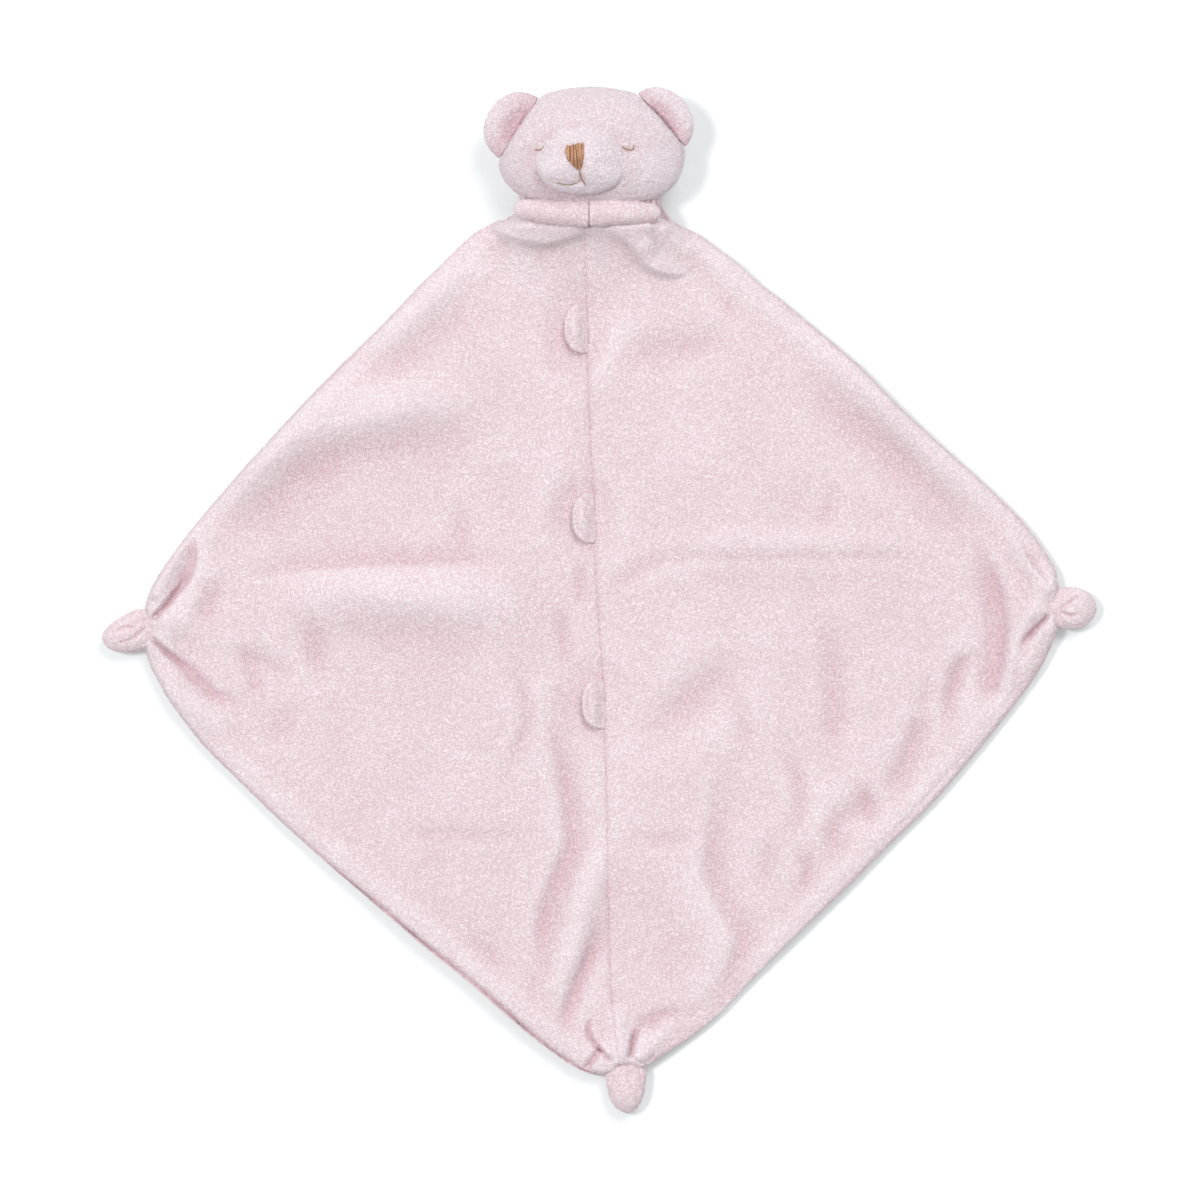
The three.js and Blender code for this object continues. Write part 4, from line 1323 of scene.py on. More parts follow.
def thread_piece(name: str, lines: list[list[Place]], radius: float) -> Piece:
    """Makes threads along lines of points.

    Args:
        name: The piece's name.
        lines: Each thread's points in millimetres.
        radius: The thread's radius.

    Returns:
        All the threads as one mesh.
    """
    curve = bpy.data.curves.new(name, "CURVE")
    curve.dimensions = "3D"
    curve.bevel_depth = radius * MM
    curve.bevel_resolution = 2
    curve.use_fill_caps = True
    curve.resolution_u = 4
    for line in lines:
        spline = curve.splines.new("NURBS")
        spline.points.add(len(line) - 1)
        spline.order_u = min(4, len(line))
        spline.use_endpoint_u = True
        for point, place in zip(spline.points, line):
            point.co = (*(value * MM for value in place), 1)
    piece = bpy.data.objects.new(name, curve)
    bpy.context.scene.collection.objects.link(piece)
    activate(piece)
    bpy.ops.object.convert(target="MESH")
    made = bpy.context.view_layer.objects.active
    made.name = name
    made.data.name = name
    bpy.ops.object.shade_smooth()
    return made


# Pads


@dataclass
class Ball:
    """A round ball of four-cornered faces, modelled once and shaped into each pad."""

    cuts: int
    directions: Array = field(init=False)
    faces: Array = field(init=False)

    def __post_init__(self) -> None:
        """Subdivides a cube and rounds it, and keeps its points and faces."""
        deselect_all()
        bpy.ops.mesh.primitive_cube_add(size=2)
        cube = bpy.context.object
        bpy.ops.object.mode_set(mode="EDIT")
        bpy.ops.mesh.select_all(action="SELECT")
        bpy.ops.mesh.subdivide(number_cuts=self.cuts)
        bpy.ops.transform.tosphere(value=1.0)
        bpy.ops.object.mode_set(mode="OBJECT")
        points = places_of(cube)
        self.directions = points / np.linalg.norm(points, axis=1, keepdims=True)
        flat = np.zeros(len(cube.data.polygons) * 4, np.int32)
        cube.data.polygons.foreach_get("vertices", flat)
        self.faces = flat.reshape(-1, 4)
        bpy.data.objects.remove(cube)

    def part(self, name: str, points: Array, half: Half | None) -> Piece:
        """Makes a pad, or one half of it.

        Args:
            name: The piece's name.
            points: The pad's points in the ball's order.
            half: The half to make, or None for all of it.

        Returns:
            The pad.
        """
        faces = self.faces
        if half is not None:
            middle = self.directions[faces].mean(axis=1)[:, 2] * half.value
            faces = faces[middle > 0]
        used, index = np.unique(faces.ravel(), return_inverse=True)
        return piece_from(name, points[used], [index.reshape(-1, 4)])


def oval(directions: Array, wide: Array | float, tall: Array | float, deep: float, power: Array) -> Array:
    """Returns the surface of an oval pad in these directions from its middle.

    Args:
        directions: Unit directions.
        wide: Half its width.
        tall: Half its height.
        deep: Half its depth.
        power: How square its outline is.

    Returns:
        Places, one row each.
    """
    across = np.abs(directions[:, 0] / wide) ** power
    along = np.abs(directions[:, 1] / tall) ** power
    flat = (across + along) ** (2 / power)
    return directions / np.sqrt(flat + (directions[:, 2] / deep) ** 2)[:, None]


@dataclass
class Head:
    """The stuffed head: a face and a back sewn round its side, over fibrefill."""

    ball: Ball
    middle: Place = (-4.1, 207.0, 21.5)
    half: Place = (43.3, 28.1, 21.8)
    powers: Spot = (2.05, 2.6)
    skin: float = 1.6
    slack: float = 5.5  # between the skin's outer side and the fibrefill
    wad_cuts: int = 23
    lumps: tuple[float, int, float] = (6, 77, 0.4)  # of the fibrefill: size, seed, rise
    side_seam: float = 0.9
    seam_width: float = 1.6
    forehead: Place = (0.8, 14.0, 12.0)  # rise, middle, width
    brow_creases: tuple[Path, ...] = (
        ((-31.0, 205.0), (-27.5, 204.4), (-24.6, 207.2), (-22.2, 211.5)),
        ((6.6, 211.2), (9.6, 206.4), (13.8, 204.4), (17.0, 205.6)),
    )
    brow_dent: float = 0.65
    brow_width: float = 2.6
    # Painted shade along the brow creases
    brow_shade: float = 0.4
    ear_angles: Spot = (147.2, 41.4)
    ear_reach: float = 32.5  # from the head's middle to an ear's seat
    ear_round: float = 2.2
    floor_gap: float = 0.15
    muzzle_middle: Spot = (-8.2, 199.4)
    muzzle_reach: tuple[float, float, float, float] = (20.6, 21.0, 16.4, 14.6)  # right, left, up, down
    # Painted shade in a ring round the muzzle
    muzzle_shade: float = 0.75
    muzzle_ring: Spot = (1.04, 0.17)  # where the painted shade lies and its width, as shares of the reach
    cheek: Spot = (26.0, 193.0)  # where light is painted, on the right
    cheek_reach: float = 13.0
    cheek_painted_light: float = 0.75
    fill: float = 0.85

    def form(self, directions: Array) -> Array:
        """Shapes the head: an oval with its side seam, its forehead, its creases and flat ear seats.

        Args:
            directions: Unit directions from its middle.

        Returns:
            The surface in these directions.
        """
        points = oval(directions, *self.half, np.where(directions[:, 1] > 0, *self.powers))
        points -= directions * (bell(points[:, 2] / self.seam_width) * self.side_seam)[:, None]
        seen = np.clip(directions[:, 2], 0, 1)
        points[:, 2] += self.crown(points[:, 1]) * seen
        points[:, 2] -= self.dents(points[:, 0] + self.middle[0], points[:, 1] + self.middle[1]) * seen
        for angle in self.ear_angles:
            facing = np.array([math.cos(math.radians(angle)), math.sin(math.radians(angle)), 0.0])
            past = points @ facing - (self.ear_reach - self.ear_round)
            held = self.ear_round * (1 - np.exp(-np.clip(past, 0, None) / self.ear_round))
            points -= facing * np.where(past > 0, past - held, 0)[:, None]
        points += np.array(self.middle)
        points[:, 2] = np.maximum(points[:, 2], self.floor_gap)
        return points

    def crown(self, off_y: Array) -> Array:
        """Returns how much fuller the forehead is, this far up from the head's middle."""
        rise, middle, width = self.forehead
        return rise * bell((off_y - middle) / width)

    def dents(self, x: Array, y: Array) -> Array:
        """Returns how deep the creases between the brow and the muzzle are at these places."""
        return self.brow_dent * sum(bell_along(x, y, crease, self.brow_width) for crease in self.brow_creases)

    def shade(self, x: Array, y: Array) -> Array:
        """Works out the shade painted round the muzzle and along the brow creases, and the light painted on
        the right cheek.

        Args:
            x: Places across.
            y: Places along.

        Returns:
            How much shade is painted, below zero where light is painted.
        """
        right, left, up, down = self.muzzle_reach
        off_x, off_y = x - self.muzzle_middle[0], y - self.muzzle_middle[1]
        across = off_x / np.where(off_x > 0, right, left)
        along = off_y / np.where(off_y > 0, up, down)
        at, width = self.muzzle_ring
        ring = bell((np.hypot(across, along) - at) / width)
        depth = self.muzzle_shade * ring * (0.3 + 0.5 * smooth(0.6 - along))
        depth *= 0.35 + 0.65 * smooth(0.5 - across)
        for crease in self.brow_creases:
            depth += self.brow_shade * bell_along(x, y, crease, self.brow_width)
        off = np.hypot(x - self.cheek[0], y - self.cheek[1])
        return depth - self.cheek_painted_light * bell(off / self.cheek_reach)

    def front_z(self, x: Array, y: Array) -> Array:
        """Works out how high the face stands, without its side seam.

        Args:
            x: Places across.
            y: Places along.

        Returns:
            The height of the face at each place.
        """
        off_x, off_y = x - self.middle[0], y - self.middle[1]
        power = np.where(off_y > 0, *self.powers)
        across = np.abs(off_x / self.half[0]) ** power
        along = np.abs(off_y / self.half[1]) ** power
        inside = np.clip(1 - (across + along) ** (2 / power), 0.02, 1)
        return self.middle[2] + self.half[2] * np.sqrt(inside) + self.crown(off_y) - self.dents(x, y)

    def build(self, pile: Pile, velour: Material, filling: Material) -> Piece:
        """Builds the face, the back and the stuffing.

        Args:
            pile: The tufts of the skin.
            velour: Its material.
            filling: The stuffing's material.

        Returns:
            The face.
        """
        points = self.form(self.ball.directions)
        pieces = []
        for half, word in ((Half.FACE, "face"), (Half.BACK, "back")):
            piece = self.ball.part(f"head_{word}_pad", points, half)
            place = places_of(piece)
            # Painted shade round the muzzle and along the brow, painted light on the right cheek
            note_values(piece, "painted_shade_and_light", self.shade(place[:, 0], place[:, 1]))
            pile.raise_on(piece)
            solidify(piece, self.skin)
            pieces.append(declare_pad(piece, velour, f"head_{word}", "head", self.fill))
        stuffing = Ball(self.wad_cuts)
        inside = self.form(stuffing.directions) - np.array(self.middle)
        inside *= 1 - self.slack / np.linalg.norm(inside, axis=1, keepdims=True)
        inside += np.array(self.middle)
        size, seed, rise = self.lumps
        inside += stuffing.directions * lattice_noise(inside, size, seed)[:, None] * rise
        wad = stuffing.part("head_fibrefill", inside, None)
        declare_pad(wad, filling, "head_stuffing", "head", self.fill)
        return pieces[0]


@dataclass
class Muzzle:
    """The padded muzzle, which rises softly from the brow and bulges over the chin."""

    ball: Ball
    head: Head
    power: float = 2.2
    rise: float = 8.4
    bulge_power: float = 2.2
    bulge_top: float = 0.8
    bulge_side: float = 0.95
    brow_slope: float = 1.5
    seat: float = 0.45
    tuck: float = 0.8  # of its upper rim into the pile of the face
    cleft: Path = ((-9.1, 197.6), (-8.9, 193.0), (-7.9, 190.4), (-5.6, 187.4))
    cleft_cut: Spot = (1.9, 1.9)  # depth and width
    mouth: Path = ((-21.4, 190.4), (-16.8, 189.0), (-12.3, 189.0), (-8.6, 190.7))
    mouth_cut: Spot = (1.1, 1.5)
    # Painted shade round the rim, painted light over the cover and more over the chin
    rim_shade: float = 0.45
    cover_painted_light: float = 0.25
    chin_painted_light: float = 0.55
    slack: float = 2.6  # between the cover and its fibrefill
    wad_cuts: int = 11
    wad_share: float = 0.72
    wad_lift: float = 0.4
    wad_rise_share: float = 0.75
    fill: float = 0.8

    def outline(self, turn: Array) -> Array:
        """Draws the muzzle's outline on the face.

        Args:
            turn: Directions across the face, in radians.

        Returns:
            How far the muzzle reaches in each.
        """
        right, left, up, down = self.head.muzzle_reach
        across = np.abs(np.cos(turn)) / np.where(np.cos(turn) > 0, right, left)
        along = np.abs(np.sin(turn)) / np.where(np.sin(turn) > 0, up, down)
        return (across**self.power + along**self.power) ** (-1 / self.power)

    def form(self, directions: Array) -> Array:
        """Shapes the muzzle: a soft slope to the brow and a full bulge over the chin.

        Args:
            directions: Unit directions from its middle.

        Returns:
            Its cover for directions that look up, else its seat.
        """
        away = np.arccos(np.clip(np.abs(directions[:, 2]), 0, 1))
        turn = np.arctan2(directions[:, 1], directions[:, 0])
        share = away / (math.pi / 2)
        bulge_up = np.clip(1 - share**self.bulge_power, 0, 1) ** self.bulge_top
        brow = smooth((np.sin(turn) + 0.2 * np.cos(turn) + 0.6) / 0.8)
        outward = share * brow + np.sin(away) ** self.bulge_side * (1 - brow)
        upward = np.cos(away) ** self.brow_slope * brow + bulge_up * (1 - brow)
        reach = self.outline(turn) * outward
        x = self.head.muzzle_middle[0] + reach * np.cos(turn)
        y = self.head.muzzle_middle[1] + reach * np.sin(turn)
        ground = self.head.front_z(x, y)
        up = directions[:, 2] > 0
        height = np.where(up, self.rise * upward, 0.0)
        for path, depth, width in ((self.cleft, *self.cleft_cut), (self.mouth, *self.mouth_cut)):
            height -= np.where(up, depth * bell_along(x, y, path, width) * smooth(height / 3), 0)
        tucked = self.tuck * smooth((share - 0.7) / 0.3) * brow
        return np.stack([x, y, ground + self.seat + height - tucked], axis=1)

    def build(self, pile: Pile, velour: Material, filling: Material) -> Piece:
        """Builds the cover and its stuffing.

        Args:
            pile: The tufts of the cover.
            velour: Its material.
            filling: The stuffing's material.

        Returns:
            The cover.
        """
        cover = self.ball.part("muzzle_pad", self.form(self.ball.directions), None)
        raised = normals_of(cover) * smooth(self.ball.directions[:, 2:] * 8)
        reach = np.arccos(np.clip(self.ball.directions[:, 2], -1, 1)) / (math.pi / 2)
        low = smooth(0.3 - self.ball.directions[:, 1])
        left = smooth(0.5 - self.ball.directions[:, 0])
        # Painted shade at the lower and left rim, painted light over the cover and the chin
        rim = self.rim_shade * smooth((reach - 0.72) / 0.28) * (0.3 + 0.7 * low) * (0.4 + 0.6 * left)
        chin = low * smooth((reach - 0.4) / 0.2) * smooth((1 - reach) / 0.15)
        note_painted_shade(cover, shade=rim - self.cover_painted_light - self.chin_painted_light * chin)
        pile.raise_on(cover, raised)
        declare_pad(cover, velour, "muzzle_cover", "head", self.fill)
        small = Ball(self.wad_cuts)
        middle = np.array(self.head.muzzle_middle)
        points = self.form(small.directions * np.array([1, 1, -1]))
        points = np.where(small.directions[:, 2:] > 0, self.form(small.directions), points)
        points[:, :2] = middle + (points[:, :2] - middle) * self.wad_share
        ground = self.head.front_z(points[:, 0], points[:, 1]) + self.seat + self.wad_lift
        raised_by = np.clip(small.directions[:, 2], 0, 1) ** 0.5 * (self.rise - self.slack)
        points[:, 2] = ground + raised_by * self.wad_rise_share
        wad = small.part("muzzle_fibrefill", points, None)
        declare_pad(wad, filling, "muzzle_stuffing", "head", self.fill)
        return cover


@dataclass
class Embroidery:
    """The satin-stitched nose, the mouth line and the two closed eyes."""

    nose_top: Path = (
        (-15.6, 204.6), (-14.9, 205.8), (-13.0, 206.4), (-10.5, 206.8), (-8.3, 207.1), (-7.5, 206.3),
    )
    nose_bottom: Path = (
        (-15.6, 202.8), (-14.6, 200.0), (-12.8, 197.6), (-10.9, 196.0), (-9.5, 195.4), (-8.6, 196.6),
        (-7.6, 201.0),
    )
    nose_threads: tuple[int, int] = (13, 9)  # in the lower layer and over it
    nose_points: int = 9  # along a thread
    nose_pad: float = 1.0
    satin: float = 0.36
    cotton: float = 0.3
    ply_share: float = 0.62  # of the cotton's radius
    twist: float = 2.6  # radians to a millimetre
    sink: float = 0.9
    cleft: Path = ((-9.2, 195.6), (-8.9, 193.0), (-8.0, 190.8), (-6.1, 188.4))
    mouth: Path = ((-20.9, 190.0), (-16.8, 189.0), (-12.3, 189.0), (-8.2, 190.7))
    left_eye: Path = ((-29.9, 205.3), (-28.4, 204.8), (-26.9, 205.2), (-25.3, 206.7))
    right_eye: Path = ((9.8, 206.8), (11.5, 205.3), (13.8, 204.8), (15.2, 205.2), (15.3, 206.8))

    def laid(self, path: Array, surface: BVHTree, lift: float) -> list[Place]:
        """Lays a line of points on a surface, its two ends sunk into the pile.

        Args:
            path: The line's points.
            surface: What it lies on.
            lift: Millimetres above it.

        Returns:
            The laid points.
        """
        line = []
        for (x, y), share in zip(path, np.linspace(0, 1, len(path))):
            sunk = self.sink * abs(2 * share - 1) ** 6
            line.append((x, y, drop_on(surface, x, y) + lift - sunk))
        return line

    def build_nose(self, surface: BVHTree, thread: Material) -> None:
        """Stitches the nose: threads side by side over a padded middle, drawn in at the tip.

        Args:
            surface: The muzzle.
            thread: The thread's material.
        """
        lines = []
        for layer in (0, 1):
            count = self.nose_threads[layer]
            for number in range(count):
                share = (number + 0.5 + layer * 0.22 * math.sin(number * 5.3)) / count
                rims = (self.nose_top, self.nose_bottom)
                start, end = (along_path(smooth_path(rim), np.array([share]))[0] for rim in rims)
                start = start + np.array([0.2 * math.sin(number * 2.4), 0.5 * math.sin(number * 4.1 + layer)])
                path = np.linspace(start, end, self.nose_points)
                path[:, 0] += 0.15 * math.sin(number * 1.7 + layer)
                bulge = self.nose_pad * math.sin(math.pi * share) ** 0.5
                over = layer * (0.2 + 0.14 * math.sin(number * 2.9))
                line = []
                for place, (x, y) in zip(np.linspace(0, 1, self.nose_points), path):
                    rise = 0.3 + bulge * math.sin(math.pi * place) ** 0.6 + over
                    line.append((x, y, drop_on(surface, x, y) + rise))
                lines.append(line)
        piece = thread_piece("nose_satin_stitch", lines, self.satin)
        # The lower layer is marked for shade painted where the upper layer covers it
        below = len(piece.data.vertices) * self.nose_threads[0] // sum(self.nose_threads)
        note_values(piece, "sunk", np.arange(len(piece.data.vertices)) < below)
        declare(piece, thread, "nose", "head")

    def twisted(self, path: Path, surface: BVHTree, radius: float) -> list[list[Place]]:
        """Twists two strands together along a path on a surface.

        Args:
            path: The path.
            surface: What it lies on.
            radius: The radius of the twisted thread.

        Returns:
            Each strand's points.
        """
        line = smooth_path(path, steps=5)
        laid = np.array(self.laid(line, surface, radius * 1.1))
        lengths = path_lengths(laid)
        strands = []
        for phase in (0.0, math.pi):
            turn = lengths * self.twist + phase
            strand = laid.copy()
            strand[:, 2] += np.sin(turn) * radius * 0.55
            strand[:, 0] += np.cos(turn) * radius * 0.35
            strand[:, 1] += np.cos(turn) * radius * 0.35
            strands.append([tuple(place) for place in strand])
        return strands

    def build_lines(self, surface: BVHTree, thread: Material) -> None:
        """Stitches the mouth on the muzzle and the closed eyes on the face.

        Args:
            surface: The muzzle and the face.
            thread: The thread's material.
        """
        mouth = self.twisted(self.cleft, surface, self.cotton)
        mouth += self.twisted(self.mouth, surface, self.cotton * 0.7)
        eyes = [self.twisted(eye, surface, self.cotton) for eye in (self.left_eye, self.right_eye)]
        for place, lines in (("mouth", mouth), ("left_eye", eyes[0]), ("right_eye", eyes[1])):
            piece = thread_piece(f"{place}_line_stitch", lines, self.cotton * self.ply_share)
            declare(piece, thread, f"{place}_stitch", "head")


@dataclass
class Ear:
    """One round ear: a cupped front and a plain back, sewn along the rim and on to the head."""

    ball: Ball
    head: Head
    side: Side
    middle: Spot
    angle: float
    hinge: Spot
    middle_z: float = 22.3
    half_width: float = 16.2
    reach: float = 14.9
    root: float = 6.0
    half_depth: float = 6.2
    powers: Spot = (2.15, 3.2)  # of its rim and its base
    cup: float = 4.6
    cup_half: Spot = (11.5, 6.4)
    cup_up: float = 0.5
    rim_seam: float = 0.5
    seam_width: float = 0.9
    skin: float = 1.0
    gap: float = 0.15
    base_round: float = 0.5
    # Painted shade on the ear where it meets the head, and how far it reaches
    base_shade: float = 1.4
    base_reach: float = 5.5

    def form(self) -> Array:
        """Shapes the ear: an oval with a cupped front and a seam round its rim.

        Returns:
            Its surface, with its base along X and its rim towards Y.
        """
        turned = self.ball.directions
        upper = turned[:, 1] > 0
        power = np.where(upper, *self.powers)
        tall = np.where(upper, self.reach, self.root)
        points = oval(turned, self.half_width, tall, self.half_depth, power)
        front = np.clip(turned[:, 2] * 1.6, 0, 1)
        wide, high = self.cup_half
        inner = bell(points[:, 0] / wide) * bell((points[:, 1] - self.cup_up) / high)
        points[:, 2] -= self.cup * front * inner
        points -= turned * (self.rim_seam * bell(points[:, 2] / self.seam_width))[:, None]
        return points

    def build(self, pile: Pile, velour: Material) -> None:
        """Builds the front and the back of the ear, flattened where they meet the head.

        Args:
            pile: Their tufts.
            velour: Their material.
        """
        placed = turn_to(self.form(), self.angle - 90, (*self.middle, self.middle_z))
        angle = math.radians(self.angle)
        outward = np.array([math.cos(angle), math.sin(angle), 0])
        seat = self.head.ear_reach + self.gap
        past = ((placed - np.array(self.head.middle)) @ outward - seat) / self.base_round
        held = np.where(past > 3, past, np.log1p(np.exp(np.clip(past, -30, 3)))) * self.base_round
        placed += outward * (held - past * self.base_round)[:, None]
        hinge = np.array([*self.hinge, self.middle_z])
        start, end = (tuple((hinge + outward * off) * MM) for off in (-4.0, 2.5))
        bend = Bend("head", f"{self.side.word}_ear", start, end)
        for half, word in ((Half.FACE, "front"), (Half.BACK, "back")):
            piece = self.ball.part(f"{self.side.word}_ear_{word}_pad", placed, half)
            off = (places_of(piece) - np.array(self.head.middle)) @ outward - seat
            # Painted shade in the ear's creases, and more near the head
            note_painted_shade(piece, shade=self.base_shade * bell(np.maximum(off, 0) / self.base_reach))
            pile.raise_on(piece, normals_of(piece) * smooth(off / 1.5)[:, None])
            solidify(piece, self.skin)
            declare_pad(piece, velour, f"{self.side.word}_ear_{word}", bend, 0.5)


def closed_rings(name: str, points: Array) -> Piece:
    """Closes rings of points into a pad.

    Args:
        name: The piece's name.
        points: Places by ring and side.

    Returns:
        The pad.
    """
    rings, sides = points.shape[:2]
    start, place = np.meshgrid(np.arange(rings - 1) * sides, np.arange(sides), indexing="ij")
    after = (place + 1) % sides
    corners = [start + place, start + after, start + sides + after, start + sides + place]
    quads = np.stack(corners, axis=-1).reshape(-1, 4)
    poles = [points[0].mean(axis=0), points[-1].mean(axis=0)]
    number = np.arange(sides)
    after = (number + 1) % sides
    last, pole = (rings - 1) * sides, rings * sides
    first = np.stack([after, number, np.full(sides, pole)], axis=1)
    final = np.stack([last + number, last + after, np.full(sides, pole + 1)], axis=1)
    everything = np.concatenate([points.reshape(-1, 3), np.array(poles)])
    return piece_from(name, everything, [quads, np.concatenate([first, final])])


@dataclass
class Roll:
    """A soft roll of velour lofted along a path, for the collar and the corner knobs."""

    name: str
    path: Line
    widths: tuple[float, ...]
    depths: tuple[float, ...]
    sides: int
    rings: int
    end_round: float  # share of the length over which an end rounds off
    start_round: float
    tip_share: float = 0.02

    def form(self) -> tuple[Array, Array, Array, Array]:
        """Lofts the roll along its path.

        Returns:
            Its points ring by ring, each ring's share of the length, each side's turn and each
            ring's middle.
        """
        line = smooth_path(self.path, steps=8)
        shares = (1 - np.cos(np.linspace(0, math.pi, self.rings))) / 2
        middle = along_path(line, shares)
        ahead = np.gradient(middle, axis=0)
        ahead /= np.linalg.norm(ahead, axis=1, keepdims=True)
        up = np.array([0.0, 0.0, 1.0])
        across = np.cross(up, ahead)
        across /= np.linalg.norm(across, axis=1, keepdims=True)
        over = np.cross(ahead, across)
        known = np.linspace(0, 1, len(self.widths))
        full = np.ones(self.rings)
        for left, length in ((1 - shares, self.end_round), (shares, self.start_round)):
            full *= np.sqrt(1 - np.clip(1 - left / length, 0, 1) ** 2)
        full = np.maximum(full, self.tip_share)
        width = np.interp(shares, known, self.widths) * full
        depth = np.interp(shares, known, self.depths) * full
        turn = np.linspace(0, 2 * math.pi, self.sides, endpoint=False)
        points = middle[:, None] + across[:, None] * (width[:, None] * np.cos(turn))[..., None]
        points = points + over[:, None] * (depth[:, None] * np.sin(turn))[..., None]
        return points, shares, turn, middle


@dataclass
class Knob:
    """A corner of the blanket, gathered with thread and stuffed with its own cloth."""

    place: str
    parent: str
    path: Path
    widths: tuple[float, ...]
    depths: tuple[float, ...]
    creases: Line  # turn, reach along the knob, depth
    dents: tuple[Path, ...] = ()
    dent_depth: float = 1.1
    dent_width: float = 0.8
    crease_turn: float = 0.2
    gathers: int = 11
    gather: Spot = (0.035, 0.3)  # depth, and reach along the knob
    floor_gap: float = 0.35
    end_round: float = 0.4
    bend_length: float = 5.0
    axis_z: float = 7.0
    thread: float = 0.4
    coil: Spot = (6.2, 3.0)
    coil_turns: int = 3
    neck: float = 7.0  # tucked between the cloths
    neck_lift: float = 0.8

    def build(self, pile: Pile, velour: Material, thread: Material) -> None:
        """Builds the knob, its gathers and the thread wound round its root.

        Args:
            pile: The knob's tufts.
            velour: Its material.
            thread: The tie's material.
        """
        root = np.array([*self.path[0], self.axis_z])
        ahead = np.array([*self.path[1], self.axis_z]) - root
        ahead /= np.linalg.norm(ahead)
        aside = np.array([-ahead[1], ahead[0], 0.0])
        line = (
            tuple(root - ahead * self.neck + np.array([0, 0, self.neck_lift])),
            tuple(root + np.array([0, 0, self.neck_lift / 2])),
            *((x, y, self.axis_z) for x, y in self.path[1:]),
        )
        roll = Roll(
            f"{self.place}_corner_pad", line, self.widths, self.depths, sides=120, rings=72,
            end_round=self.end_round, start_round=0.03,
        )
        points, shares, turn, middle = roll.form()
        outward = points - middle[:, None]
        shrink = np.ones(points.shape[:2])
        for at, reach, depth in self.creases:
            off = np.abs((turn - at + math.pi) % (2 * math.pi) - math.pi)
            fade = bell(shares / reach)
            shrink -= depth * fade[:, None] * np.exp(-np.abs(off) / self.crease_turn)
        depth, reach = self.gather
        gathers = depth * np.cos(self.gathers * turn)[None] * np.exp(-shares / reach)[:, None]
        points = middle[:, None] + outward * (shrink + gathers)[..., None]
        top = np.sin(turn)[None] > 0
        for path in self.dents:
            dent = bell_along(points[..., 0], points[..., 1], path, self.dent_width)
            points[..., 2] -= np.where(top, self.dent_depth * dent, 0)
        points[..., 2] = np.maximum(points[..., 2], self.floor_gap)
        pad = closed_rings(roll.name, points)
        pile.raise_on(pad)
        corner = f"{self.place}_corner"
        start, end = (tuple((root + ahead * off) * MM) for off in (-1.0, self.bend_length))
        bend = Bend(self.parent, corner, start, end)
        declare_pad(pad, velour, f"{corner}_knob", bend, 0.6)
        wound = []
        for step in range(self.coil_turns * 16 + 1):
            angle = step * math.pi / 8
            ring = root + ahead * (1.0 + step * self.thread / 16)
            ring = ring + aside * math.cos(angle) * self.coil[0]
            wound.append(tuple(ring + np.array([0, 0, math.sin(angle) * self.coil[1]])))
        tie = thread_piece(f"{corner}_thread", [wound], self.thread)
        declare(tie, thread, f"{corner}_tie", corner)


